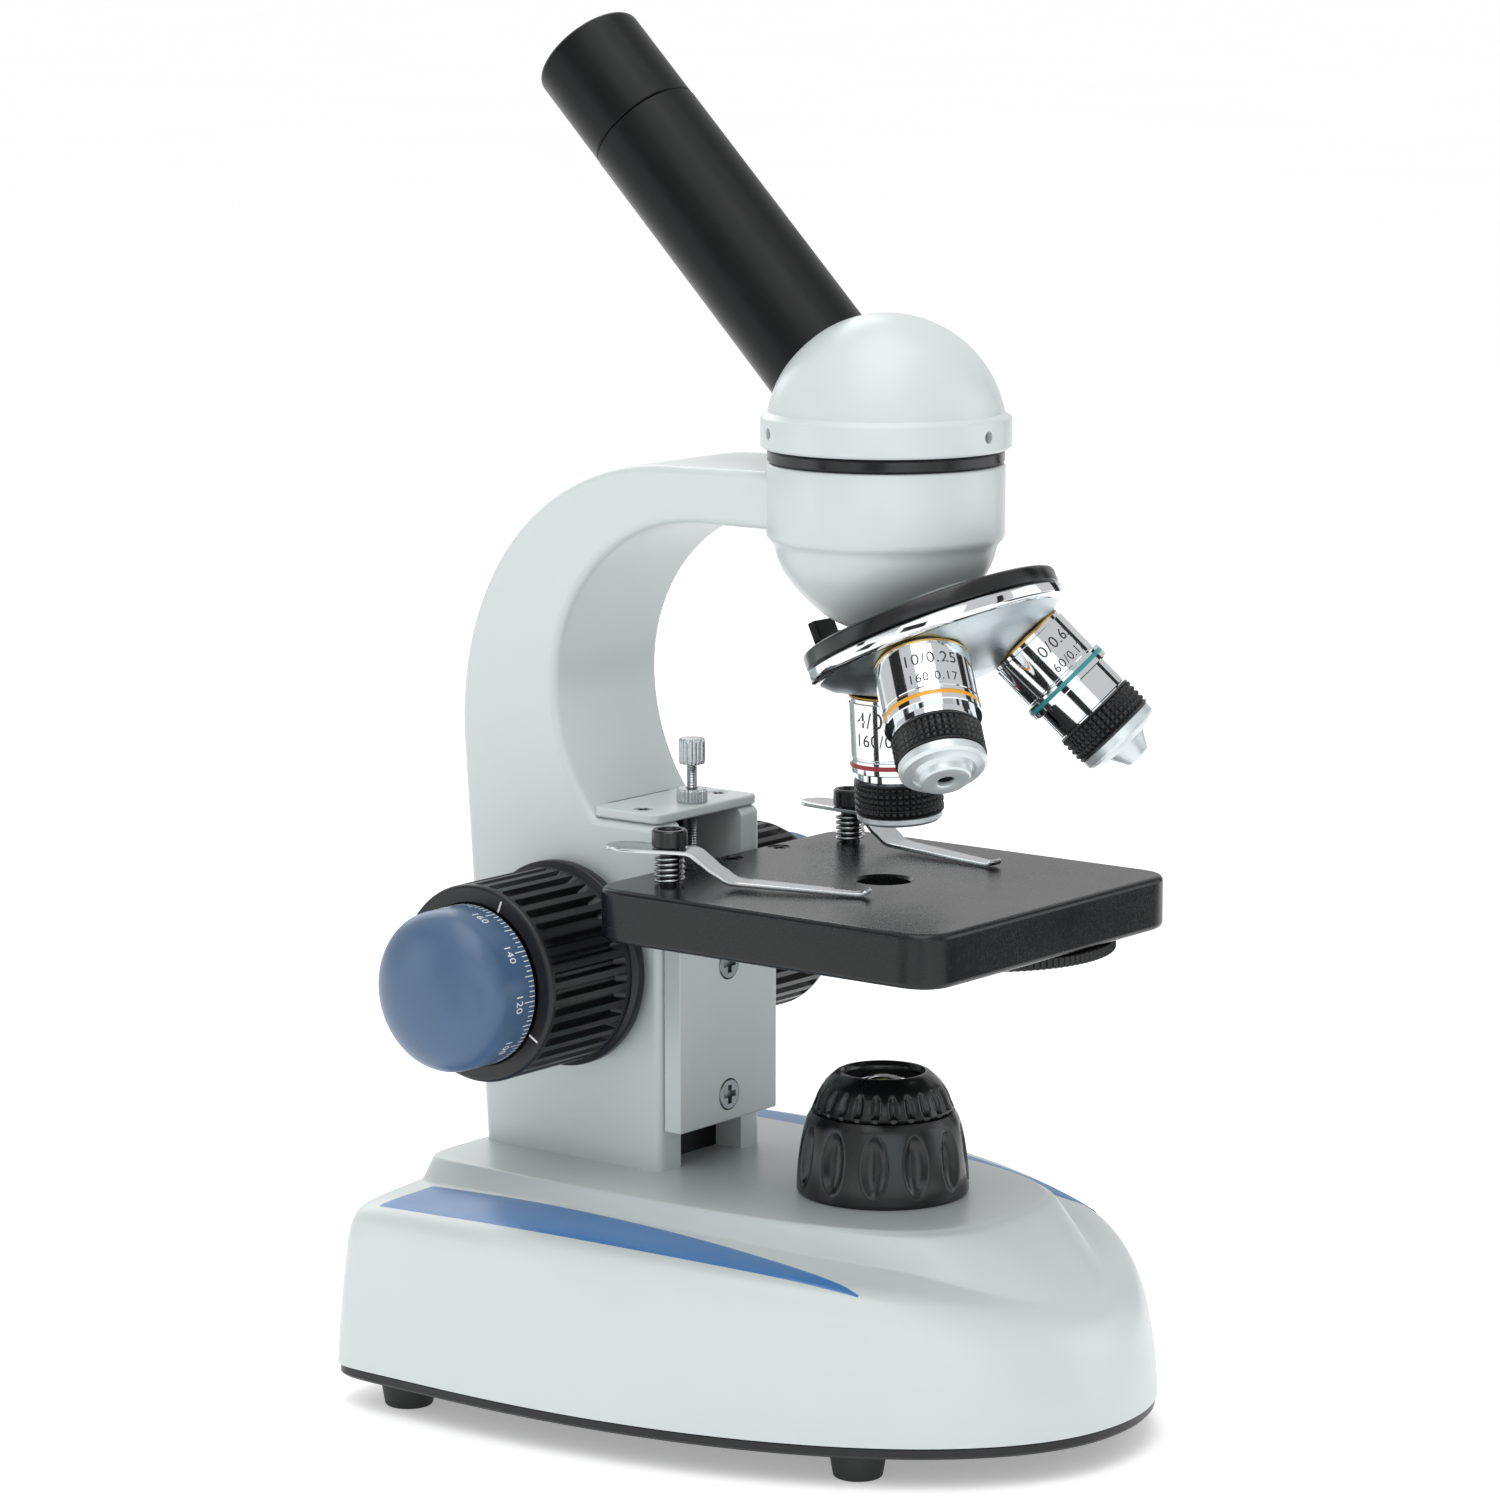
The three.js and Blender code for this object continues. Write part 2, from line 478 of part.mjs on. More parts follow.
function buildFocus() {
  // The group's Z runs along the object's +X, through the middle of the shaft.
  const drive = new THREE.Group();
  drive.position.set(0, FOCUS.y, FOCUS.z);
  drive.rotation.y = Math.PI / 2;
  microscope.add(drive);

  const pinion = new THREE.Shape();
  for (let i = 0; i < PINION.teeth * 2; i += 1) {
    const angle = Math.PI * (i + 0.5) / PINION.teeth;
    const radius = i % 2 ? PINION.tip : PINION.root;
    pinion[i ? 'lineTo' : 'moveTo'](radius * Math.cos(angle), radius * Math.sin(angle));
  }
  const teeth = pushed(pinion, 2 * PINION.halfWidth, 0, { z: -PINION.halfWidth });
  const end = FOCUS.shaftEnd;
  // The shaft is thinner behind the pinion's teeth and full size in the arm and the knobs.
  const core = rod(PINION.root - 0.1, -end, end, SEGMENTS.small);
  const journals = [[-end, -PINION.halfWidth - 1], [PINION.halfWidth + 1, end]]
    .map(([from, to]) => rod(FOCUS.shaftRadius, from, to, SEGMENTS.small));
  const shaftHole = rod(FOCUS.fineRadius + GAP, -end - 1, end + 1, SEGMENTS.small);
  addPiece('focus_shaft', STEEL, cut(join(core, teeth, ...journals), shaftHole), drive);
  addPiece('fine_shaft', STEEL, rod(FOCUS.fineRadius, -FOCUS.fineEnd, FOCUS.fineEnd, SEGMENTS.small), drive);

  const hubBore = FOCUS.shaftRadius + GAP;
  const { radius: grip, flange, inner, outer, recess, web } = COARSE;
  const coarse = [
    [hubBore, inner], [grip - 1, inner], [flange, inner + 1], [flange, inner + 3], [grip, inner + 3.6],
    [grip, outer - 3], [grip - 0.8, outer - 0.6], [grip - 1.6, outer], [recess, outer], [recess, web],
    [hubBore, web], [hubBore, inner],
  ];
  const fineBore = FOCUS.fineRadius + GAP;
  const fine = [[fineBore, FINE.inner], [FINE.radius - 0.3, FINE.inner], [FINE.radius, FINE.inner + 0.4]];
  const arcSteps = 8;
  for (let i = 0; i <= arcSteps; i += 1) {
    const angle = Math.PI / 2 * i / arcSteps;
    const rise = (FINE.crown - FINE.shoulder) * Math.sin(angle);
    fine.push([FINE.radius * Math.cos(angle), FINE.shoulder + rise]);
  }
  fine.push([0, FINE.boreEnd], [fineBore, FINE.boreEnd], [fineBore, FINE.inner]);
  for (const [side, turn] of [['left', 180], ['right', 0]]) {
    const half = new THREE.Group();
    half.rotation.y = radians(turn);
    drive.add(half);
    addPiece(`coarse_knob_${side}`, BLACK_PLASTIC, turned(coarse, SEGMENTS.large), half);
    addPiece(`fine_knob_${side}`, KNOB_BLUE, turned(fine, SEGMENTS.large), half);
  }
}

// ---- Stage ----

function buildSlide() {
  const { halfWidth, front, back, bottom, top, flangeFront } = SLIDE;
  const upright = block([-halfWidth, front, bottom], [halfWidth, back, top]);
  const flange = block([-halfWidth, flangeFront, top - 3.6], [halfWidth, back, top]);
  const screwHeights = Object.values(SLIDE_SCREW_Z);
  const screwSeats = screwHeights.map((z) => rod(3.6, 22, 27, SEGMENTS.small, { z, rx: -90 }));
  const shankHoles = screwHeights.map((z) => rod(1.8, 22, 32, SEGMENTS.tiny, { z, rx: -90 }));
  const stageHoles = STAGE_SCREWS.map(([, x]) => rod(1.6, 105, 114, SEGMENTS.tiny, { x, y: STAGE_SCREW_Y }));
  addPiece('slide_plate', ENAMEL, cut(join(upright, flange), ...screwSeats, ...shankHoles, ...stageHoles));

  for (const [name, z] of Object.entries(SLIDE_SCREW_Z)) {
    // The screw's axis points out of the plate's front face.
    const fastener = addPiece(name, STEEL, screw(3.2, 1.6, 1.4, 8));
    fastener.rotation.x = Math.PI / 2;
    fastener.position.set(0, front + 0.3, z);
  }

  const slab = block([-BLOCK.halfWidth, BLOCK.front, BLOCK.bottom], [BLOCK.halfWidth, BLOCK.back, BLOCK.top]);
  const rackShape = new THREE.Shape();
  const pitch = PINION_PITCH;
  const toothCount = Math.floor((BLOCK.top - BLOCK.bottom - 2) / pitch);
  const rackTip = FOCUS.y - PINION.root - 0.45;
  const rackRoot = rackTip - 1;
  rackShape.moveTo(BLOCK.back - 1, BLOCK.bottom);
  // A gap between two rack teeth faces the pinion's middle at rest.
  const aboveMiddle = FOCUS.z + pitch / 2;
  const firstTooth = aboveMiddle - pitch * Math.floor((aboveMiddle - BLOCK.bottom - 1) / pitch);
  for (let i = 0; i < toothCount; i += 1) {
    const z = firstTooth + i * pitch;
    rackShape.lineTo(rackRoot, z - pitch * 0.3);
    rackShape.lineTo(rackTip, z - pitch * 0.08);
    rackShape.lineTo(rackTip, z + pitch * 0.08);
    rackShape.lineTo(rackRoot, z + pitch * 0.3);
  }
  rackShape.lineTo(BLOCK.back - 1, BLOCK.top);
  const rack = pushed(rackShape, 2 * BLOCK.rackHalfWidth, 0, { x: -BLOCK.rackHalfWidth, rx: 90, rz: 90 });
  const tapped = screwHeights.map((z) => rod(1.8, 29, 36, SEGMENTS.tiny, { z, rx: -90 }));
  addPiece('slide_block', BLACK_PAINT, cut(join(slab, rack), ...tapped));
}

function buildStage() {
  const { halfSize, top, bottom, skin, skirt, corner, hole } = STAGE;
  const outline = roundedRectangle(halfSize, halfSize, corner, 0, OPTICAL_Y);
  const body = pushed(outline, top - bottom, 0.8, { z: bottom });
  const pocketOutline = roundedRectangle(halfSize - skirt, halfSize - skirt, corner - skirt, 0, OPTICAL_Y);
  const pocket = pushed(pocketOutline, top - bottom - skin + 1, 0, { z: bottom - 1 });
  const lightHole = rod(hole, bottom, top + 1, SEGMENTS.medium, { y: OPTICAL_Y });
  const rear = OPTICAL_Y + halfSize;
  const notch = block([-SLIDE.halfWidth - GAP, SLIDE.front - GAP, bottom - 1],
    [SLIDE.halfWidth + GAP, rear + 1, SLIDE.top + 0.1]);
  const screwHoles = STAGE_SCREWS.map(([, x]) => (
    rod(2.4, 105, top + 1, SEGMENTS.small, { x, y: STAGE_SCREW_Y })
  ));
  const postHoles = [-1, 1].map((side) => (
    rod(2.1 + GAP, 105, top + 1, SEGMENTS.small, { x: side * CLIP.x, y: CLIP.y })
  ));
  addPiece('stage_plate', BLACK_PAINT, cut(body, pocket, lightHole, notch, ...screwHoles, ...postHoles));

  for (const [name, x] of STAGE_SCREWS) {
    addPiece(name, STEEL, screw(2, 1.6, 1.2, 7)).position.set(x, STAGE_SCREW_Y, top - 0.15);
  }

  const mount = addGroup(microscope, { y: OPTICAL_Y });
  const under = top - skin;
  addPiece('condenser_mount', BLACK_PAINT, turned([
    [4, 106.8], [8, 106.8], [9, 108], [9, under - 0.1], [5.2, under - 0.1], [5.2, 108.6], [4, 108.6],
    [4, 106.8],
  ], SEGMENTS.medium), mount);
  const lens = [[0, 108.9], [4.9, 108.9], [4.9, 110.6], [3.6, 112], [1.8, 112.8], [0, 113]];
  addPiece('condenser_lens', GLASS, turned(lens, SEGMENTS.small), mount);
}

function buildDiaphragm() {
  const toAxis = Math.atan2(OPTICAL_Y - DISC.y, -DISC.x);
  const apertures = DISC_HOLES.map((radius, i) => {
    const angle = toAxis + 2 * Math.PI * i / DISC_HOLES.length;
    const place = { x: DISC.holeCircle * Math.cos(angle), y: DISC.holeCircle * Math.sin(angle) };
    return rod(radius, DISC.bottom - 1, DISC.top + 1, SEGMENTS.tiny, place);
  });
  const disc = sleeve(2.4, DISC.radius, DISC.bottom, DISC.top, SEGMENTS.large);
  addPiece('diaphragm_disc', BLACK_PLASTIC, cut(disc, ...apertures)).position.set(DISC.x, DISC.y, 0);
  const pin = [
    [0, 101.6], [3.4, 101.6], [3.8, 102], [3.8, DISC.bottom - GAP], [2.1, DISC.bottom - GAP],
    [2.1, 106.4], [4, 106.6], [4, STAGE.top - STAGE.skin - 0.1], [0, STAGE.top - STAGE.skin - 0.1],
  ];
  addPiece('diaphragm_pivot', STEEL, turned(pin, SEGMENTS.small)).position.set(DISC.x, DISC.y, 0);
}

/** Wire helix about Z. */
class Helix extends THREE.Curve {
  constructor(radius, height, turns) {
    super();
    Object.assign(this, { radius, height, turns });
  }

  getPoint(t, target = new THREE.Vector3()) {
    const angle = 2 * Math.PI * this.turns * t;
    return target.set(this.radius * Math.cos(angle), this.radius * Math.sin(angle), this.height * t);
  }
}

/** Bent spring-steel blade, pivoting at its own origin and reaching along -Y; z = 0 is the stage's top. */
function clipBlade() {
  const raised = CLIP.springHeight + 0.3;
  // Each station is [y, z, half width].
  const stations = [
    [14, raised, 1.6], [13.2, raised, 3], [11.5, raised, 3.9], [6, raised, 4.1], [-5, raised, 3.6],
    [-6.5, raised - 0.4, 3.5], [-13, 1.9, 3.3], [-14.5, 1.3, 3.2], [-32, 0.6, 2.5], [-43.5, 0.25, 1.8],
    [-45, 1.4, 1.6],
  ];
  const rings = stations.map(([y, z, half], i) => {
    const [before, after] = [stations[Math.max(i - 1, 0)], stations[Math.min(i + 1, stations.length - 1)]];
    const slope = new THREE.Vector2(after[0] - before[0], after[1] - before[1]).normalize();
    const [ny, nz] = [slope.y * CLIP.sheet, -slope.x * CLIP.sheet];
    const corners = [[-half, 0], [half, 0], [half, 1], [-half, 1]];
    return corners.map(([x, k]) => new THREE.Vector3(x, z + nz * k, y + ny * k));
  });
  // The rings are stacked along Z, so the loft is turned to run along Y.
  return lofted(rings).rotate([90, 0, 0]).mirror([0, 1, 0]);
}

function buildClips() {
  const helix = new Helix(2.95, CLIP.springHeight - 1, 5);
  const wire = new THREE.Shape();
  wire.absarc(0, 0, 0.35, 0, 2 * Math.PI);
  const coil = new THREE.ExtrudeGeometry(wire, { steps: 45, curveSegments: 2, extrudePath: helix });
  const sheetTop = CLIP.springHeight + 0.3 + CLIP.sheet;
  const post = [
    [0, -6], [3.6, -6], [3.6, -4.4], [2.1, -4.4], [2.1, sheetTop + 0.2], [3.75, sheetTop + 0.2],
    [3.75, sheetTop + 4], [2.7, sheetTop + 4], [2.7, sheetTop + 1.4], [0, sheetTop + 1.4],
  ];
  for (const [side, sign, angle] of [['left', -1, CLIP.leftAngle], ['right', 1, CLIP.rightAngle]]) {
    const mount = addGroup(microscope, { x: sign * CLIP.x, y: CLIP.y, z: STAGE.top });
    addPiece(`clip_post_${side}`, BLACK_PLASTIC, turned(post, SEGMENTS.small), mount);
    addPiece(`clip_spring_${side}`, STEEL, solid(coil, { z: 0.45 }), mount);
    const hole = rod(2.1 + GAP, 0, 12, SEGMENTS.small);
    const blade = addPiece(`stage_clip_${side}`, STEEL, cut(clipBlade(), hole), mount);
    blade.rotation.z = radians(angle);
  }
}

// ---- Head ----

function buildHead() {
  const head = addGroup(microscope, { y: OPTICAL_Y });
  const ring = sleeve(RING.bore, RING.radius, RING.bottom, RING.top, SEGMENTS.large);
  addPiece('head_ring', BLACK_PAINT, ring, head);

  const dome = [[DOME.radius - DOME.wall - 2, DOME.bottom], [DOME.flangeRadius, DOME.bottom]];
  dome.push([DOME.flangeRadius, DOME.flangeTop - 0.5], [DOME.flangeRadius - 0.6, DOME.flangeTop]);
  const inner = DOME.radius - DOME.wall;
  const steps = 9;
  const startAngle = Math.asin((DOME.flangeTop - DOME.centre) / DOME.radius);
  for (let i = 0; i <= steps; i += 1) {
    const angle = startAngle + (Math.PI / 2 - startAngle) * i / steps;
    dome.push([DOME.radius * Math.cos(angle), DOME.centre + DOME.radius * Math.sin(angle)]);
  }
  for (let i = 0; i <= steps - 1; i += 1) {
    const angle = Math.PI / 2 * (1 - i / steps);
    dome.push([inner * Math.cos(angle), DOME.centre + inner * Math.sin(angle)]);
  }
  dome.push([inner, DOME.centre], [inner - 2, DOME.centre - 0.5], [inner - 2, DOME.bottom]);
  const tubePlace = { z: TUBE.z, rx: -TUBE.tilt };
  const tubeHole = rod(TUBE.radius + GAP, 4, 60, SEGMENTS.medium, tubePlace);
  const setScrewHoles = [32, 148, 270].map((degrees) => (
    rod(1.3, 15, 30, SEGMENTS.tiny, { z: 214, ry: 90, rz: degrees })
  ));
  addPiece('head_dome', ENAMEL, cut(turned(dome, SEGMENTS.large), tubeHole, ...setScrewHoles), head);

  // The prism bends the light from straight up into the inclined tube.
  const prismShape = new THREE.Shape();
  prismShape.moveTo(-7, 0);
  prismShape.lineTo(7, 0);
  prismShape.lineTo(8.5, 3.5);
  prismShape.lineTo(1.5, 11);
  prismShape.lineTo(-7, 8);
  addPiece('prism', GLASS, pushed(prismShape, 14, 0, { x: -7, z: DOME.bottom + 0.2, rx: 90, rz: 90 }), head);

  const incline = addGroup(head, { z: TUBE.z, rx: -TUBE.tilt });
  const tube = sleeve(TUBE.bore, TUBE.radius, TUBE.start, TUBE.end, SEGMENTS.large);
  addPiece('draw_tube', BLACK_PAINT, tube, incline);
  const seat = TUBE.end + GAP;
  const { radius, barrelRadius, barrelStart, top, lensRadius } = EYEPIECE;
  const rim = [
    [barrelRadius - 1.2, barrelStart], [barrelRadius, barrelStart], [barrelRadius, seat],
    [radius + 0.3, seat], [radius + 0.3, top - 3], [radius, top - 1], [radius - 1.2, top], [9.5, top],
    [lensRadius + GAP, top - 3],
    [lensRadius + GAP, top - 9], [barrelRadius - 1.2, top - 12], [barrelRadius - 1.2, barrelStart],
  ];
  addPiece('eyepiece', BLACK_PLASTIC, turned(rim, SEGMENTS.large), incline);
  const eyeLens = [
    [0, top - 8], [lensRadius, top - 7], [lensRadius, top - 4.5], [3.4, top - 3.7], [0, top - 3.4],
  ];
  addPiece('eye_lens', GLASS, turned(eyeLens, SEGMENTS.small), incline);
}

// ---- Nosepiece ----

/** Objective parts about Z, with z = 0 at the shoulder on the turret and +Z towards the specimen. */
function addObjective(holder, { name, radius, barrel, neck, grip, tip, tipRadius }) {
  const { ringRadius, ringWidth, stepRadius, gripRadius, capRadius, coreRadius, bore } = OBJECTIVE;
  const nose = Math.min(tip - grip, 2.6);
  const body = [
    [bore, -4], [TURRET.thread - GAP, -4], [TURRET.thread - GAP, 0.2], [radius - 0.3, 0.2],
    [radius, barrel - ringWidth], [ringRadius, barrel - ringWidth], [ringRadius, barrel],
    [stepRadius, barrel], [stepRadius, neck - 0.3], [coreRadius, neck - 0.3], [coreRadius, grip + 0.3],
    [capRadius, grip + 0.3],
    [capRadius, grip + nose], [capRadius - 0.8, grip + nose],
  ];
  if (tip - grip > nose) body.push([tipRadius + 2, tip - 2.4], [tipRadius + 2, tip - 1.2], [tipRadius, tip]);
  body.push([bore, tip - (tip - grip > nose ? 0 : 0.6)], [bore, -4]);
  addPiece(`${name}_barrel`, CHROME, turned(body, SEGMENTS.medium), holder);
  const knurl = sleeve(coreRadius + GAP, gripRadius, neck, grip, SEGMENTS.medium);
  addPiece(`${name}_grip`, BLACK_PLASTIC, knurl, holder);
}

function buildNosepiece() {
  // The group's +Z is the turret's axis, pointing down and forward from the apex on the optical axis.
  const nose = addGroup(microscope, { y: OPTICAL_Y, z: NOSE.apex, rx: 180 - NOSE.tilt });
  const lean = Math.tan(radians(NOSE.tilt));
  const lightHole = rod(6, NOSE_PLATE.top - 1, NOSE_PLATE.bottom + 1, SEGMENTS.small, {
    y: -lean * (NOSE_PLATE.top + NOSE_PLATE.bottom) / 2,
  });
  const { screwBore, radius, top, bottom } = NOSE_PLATE;
  const plate = sleeve(screwBore, radius, top, bottom, SEGMENTS.large);
  addPiece('nosepiece_plate', BLACK_PAINT, cut(plate, lightHole), nose);
  const bracket = block([-6.5, -30.6, 19], [0.5, -28.3, 28]);
  addPiece('click_bracket', BLACK_PAINT, join(bracket, block([-6.5, -30.6, 22.5], [0.5, -24, 25.7])), nose);

  const turret = addGroup(nose, { rz: NOSE.turn });
  const shoulderRadius = SHOULDER_DISTANCE * Math.sin(radians(NOSE.tilt));
  const shoulderDepth = SHOULDER_DISTANCE * Math.cos(radians(NOSE.tilt));
  const dishAt = (radius) => shoulderDepth + (shoulderRadius - radius) * lean;
  const pivotBore = NOSE_PLATE.screwBore + GAP;
  const dish = turned([
    [pivotBore, TURRET.top], [TURRET.radius, TURRET.top], [TURRET.radius, TURRET.rim],
    [TURRET.radius - 1.5, TURRET.rim + 0.6], [10, dishAt(10) + 0.6], [pivotBore, dishAt(8)],
    [pivotBore, TURRET.top],
  ], SEGMENTS.large);
  const seats = [];
  const holders = OBJECTIVES.map((objective) => {
    const spoke = addGroup(turret, { rz: objective.turn });
    seats.push(rod(TURRET.thread, SHOULDER_DISTANCE - 20, SHOULDER_DISTANCE + 20, SEGMENTS.small,
      { rx: NOSE.tilt, rz: objective.turn }));
    seats.push(rod(OBJECTIVE.ringRadius + GAP, SHOULDER_DISTANCE, SHOULDER_DISTANCE + 20, SEGMENTS.medium,
      { rx: NOSE.tilt, rz: objective.turn }));
    return addGroup(spoke, { y: -shoulderRadius, z: shoulderDepth, rx: NOSE.tilt });
  });
  addPiece('turret', NICKEL, cut(dish, ...seats), turret);
  OBJECTIVES.forEach((objective, i) => addObjective(holders[i], objective));

  const screwHead = dishAt(8) + 0.4;
  const pivot = [
    [0, NOSE_PLATE.top + 0.2], [NOSE_PLATE.screwBore - GAP, NOSE_PLATE.top + 0.2],
    [NOSE_PLATE.screwBore - GAP, screwHead], [4.6, screwHead], [4.2, screwHead + 1.6], [0, screwHead + 2],
  ];
  addPiece('turret_screw', STEEL, turned(pivot, SEGMENTS.small), nose);
}

buildBase();
buildPowerEntry();
buildLamp();
buildArm();
buildStop();
buildFocus();
buildSlide();
buildStage();
buildDiaphragm();
buildClips();
buildHead();
buildNosepiece();

// The arm leans out behind the base, so the middle of the box lies a little behind the base's middle.
const box = new THREE.Box3().setFromObject(microscope);
microscope.position.y = -(box.min.y + box.max.y) / 2;

export default microscope;
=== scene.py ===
"""Looks of a student's monocular microscope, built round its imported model.

Sizes are millimetres in the maker's drawing: +Z up, -Y the front, the optical axis at
x = 0, y = -17. Each piece is modelled in its own local frame and then put in its place.
"""

import logging
import math
from dataclasses import dataclass, field
from enum import Enum
from typing import Callable, Sequence

import bmesh
import bpy
from mathutils import Euler, Matrix, Vector
from mathutils.bvhtree import BVHTree

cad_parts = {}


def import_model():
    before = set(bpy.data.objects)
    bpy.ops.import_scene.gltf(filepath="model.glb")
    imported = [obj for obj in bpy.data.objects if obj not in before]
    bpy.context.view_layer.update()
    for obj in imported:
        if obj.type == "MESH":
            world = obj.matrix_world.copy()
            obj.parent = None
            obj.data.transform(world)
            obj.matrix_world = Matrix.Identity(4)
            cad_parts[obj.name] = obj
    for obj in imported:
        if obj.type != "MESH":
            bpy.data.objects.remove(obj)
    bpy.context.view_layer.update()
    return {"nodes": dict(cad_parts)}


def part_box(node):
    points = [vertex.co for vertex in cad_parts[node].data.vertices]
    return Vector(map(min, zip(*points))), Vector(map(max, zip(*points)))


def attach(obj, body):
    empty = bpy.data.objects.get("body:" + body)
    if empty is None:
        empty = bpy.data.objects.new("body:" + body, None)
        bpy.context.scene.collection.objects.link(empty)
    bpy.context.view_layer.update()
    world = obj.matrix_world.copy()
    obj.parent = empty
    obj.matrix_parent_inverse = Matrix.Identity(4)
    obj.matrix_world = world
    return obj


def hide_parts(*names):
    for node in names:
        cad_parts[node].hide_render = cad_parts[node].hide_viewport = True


log = logging.getLogger("microscope")

MM = 0.001
OPTICAL_Y = -17.0
FINE_TURN = 128
SMALL_TURN = 48
RIB_TURN = 288
RING_TURN = 144
TOUCH = 1e-6
SHARP_BEND = 50
OWN_PLACE = "own_place"

Point = tuple[float, float]
Place = tuple[float, float, float]
Profile = Sequence[Point]
Outline = Sequence[Point]
Piece = bpy.types.Object


# ---- Modelling ----


def fresh_start() -> None:
    """Leaves edit mode and deselects everything."""
    if bpy.context.object is not None and bpy.context.object.mode != "OBJECT":
        bpy.ops.object.mode_set(mode="OBJECT")
    bpy.ops.object.select_all(action="DESELECT")


def only(piece: Piece) -> None:
    """Makes one object the selected and active one.

    Args:
        piece: The object to select.
    """
    fresh_start()
    piece.select_set(True)
    bpy.context.view_layer.objects.active = piece


def start_ring(name: str, count: int, radius: float, height: float) -> Piece:
    """Adds an open circle about Z and enters edit mode with all of it selected.

    Args:
        name: Name of the new piece.
        count: Number of its corners.
        radius: Its radius in millimetres.
        height: Its height in millimetres.

    Returns:
        The new object, in edit mode.
    """
    fresh_start()
    bpy.ops.mesh.primitive_circle_add(vertices=count, radius=radius * MM,
        location=(0, 0, height * MM))
    bpy.ops.object.transform_apply(location=True, rotation=False, scale=False)
    piece = bpy.context.object
    piece.name = name
    piece.data.name = name
    bpy.ops.object.mode_set(mode="EDIT")
    bpy.ops.mesh.select_mode(type="VERT")
    bpy.ops.mesh.select_all(action="SELECT")
    return piece


def select_where(piece: Piece, test: Callable[[bmesh.types.BMVert], bool]) -> None:
    """Selects the vertices of a piece in edit mode that pass a test.

    Args:
        piece: The object in edit mode.
        test: Says whether a vertex is wanted.
    """
    bpy.ops.mesh.select_all(action="DESELECT")
    shape = bmesh.from_edit_mesh(piece.data)
    for vertex in shape.verts:
        vertex.select = test(vertex)
    shape.select_flush_mode()
    bmesh.update_edit_mesh(piece.data)


def close_up(piece: Piece) -> None:
    """Merges doubles, points the faces outwards and leaves edit mode.

    Args:
        piece: The object in edit mode.
    """
    bpy.ops.mesh.select_all(action="SELECT")
    bpy.ops.mesh.remove_doubles(threshold=TOUCH)
    bpy.ops.mesh.normals_make_consistent(inside=False)
    bpy.ops.object.mode_set(mode="OBJECT")


def draw_to_axis(rise: float) -> None:
    """Closes the selected ring: extrudes it, merges the new ring and shifts it along Z.

    Args:
        rise: How far the new point lies above the ring, in millimetres.
    """
    if abs(rise) < TOUCH:
        bpy.ops.mesh.edge_face_add()
        return
    bpy.ops.mesh.extrude_region_move()
    bpy.ops.mesh.merge(type="CENTER")
    bpy.ops.transform.translate(value=(0, 0, rise * MM))


def turned(name: str, profile: Profile, count: int = FINE_TURN) -> Piece:
    """Turns a profile about Z, ring by ring, as on a lathe.

    Args:
        name: Name of the new piece.
        profile: Radius and height of each station. It starts and ends on the axis, or
            its last station is its first.
        count: Number of steps round the axis.

    Returns:
        The closed solid.
    """
    capped = profile[0][0] == 0
    rings = [station for station in profile if station[0] > 0]
    piece = start_ring(name, count, *rings[0])
    for (radius, height), (next_radius, next_height) in zip(rings, rings[1:]):
        bpy.ops.mesh.extrude_region_move()
        bpy.ops.transform.translate(value=(0, 0, (next_height - height) * MM))
        if next_radius != radius:
            share = next_radius / radius
            bpy.ops.transform.resize(value=(share, share, 1),
                center_override=(0, 0, next_height * MM))
    if capped:
        draw_to_axis(profile[-1][1] - rings[-1][1])
        first = set(range(count))
        select_where(piece, lambda vertex: vertex.index in first)
        draw_to_axis(profile[0][1] - rings[0][1])
    close_up(piece)
    return piece


def arc(radius: float, centre: Point, start: float, end: float, steps: int = 8) -> list[Point]:
    """Points of a circular arc.

    Args:
        radius: Radius of the arc.
        centre: Its centre.
        start: Angle of its first point, in degrees.
        end: Angle of its last point, in degrees.
        steps: Number of steps between them.

    Returns:
        The points in order.
    """
    angles = [math.radians(start + (end - start) * i / steps) for i in range(steps + 1)]
    return [(centre[0] + radius * math.cos(a), centre[1] + radius * math.sin(a)) for a in angles]


def bezier(a: tuple, b: tuple, c: tuple, d: tuple, steps: int = 16) -> list[Point]:
    """Points of a cubic curve, without its first point.

    Args:
        a: Its start.
        b: Its first handle.
        c: Its second handle.
        d: Its end.
        steps: Number of steps.

    Returns:
        The points after the start.
    """
    points = []
    for i in range(1, steps + 1):
        t = i / steps
        weights = ((1 - t) ** 3, 3 * t * (1 - t) ** 2, 3 * t * t * (1 - t), t**3)
        points.append(tuple(sum(w * p[k] for w, p in zip(weights, (a, b, c, d))) for k in (0, 1)))
    return points


def rounded(corners: Outline, radius: float, steps: int = 6) -> list[Point]:
    """Rounds each corner of a convex or concave outline with a small curve.

    Args:
        corners: The sharp outline.
        radius: How far each rounding reaches from its corner.
        steps: Steps of each rounding.

    Returns:
        The rounded outline.
    """
    points = []
    for i, corner in enumerate(corners):
        here = Vector(corner)
        before = Vector(corners[i - 1]) - here
        after = Vector(corners[(i + 1) % len(corners)]) - here
        first = here + before.normalized() * min(radius, before.length * 0.45)
        last = here + after.normalized() * min(radius, after.length * 0.45)
        for k in range(steps + 1):
            t = k / steps
            point = first * (1 - t) ** 2 + here * 2 * t * (1 - t) + last * t * t
            points.append((point.x, point.y))
    return points


def box_outline(left: float, low: float, right: float, high: float) -> list[Point]:
    """Corners of a rectangle, counter-clockwise.

    Args:
        left: Lowest first coordinate.
        low: Lowest second coordinate.
        right: Highest first coordinate.
        high: Highest second coordinate.

    Returns:
        The four corners.
    """
    return [(left, low), (right, low), (right, high), (left, high)]


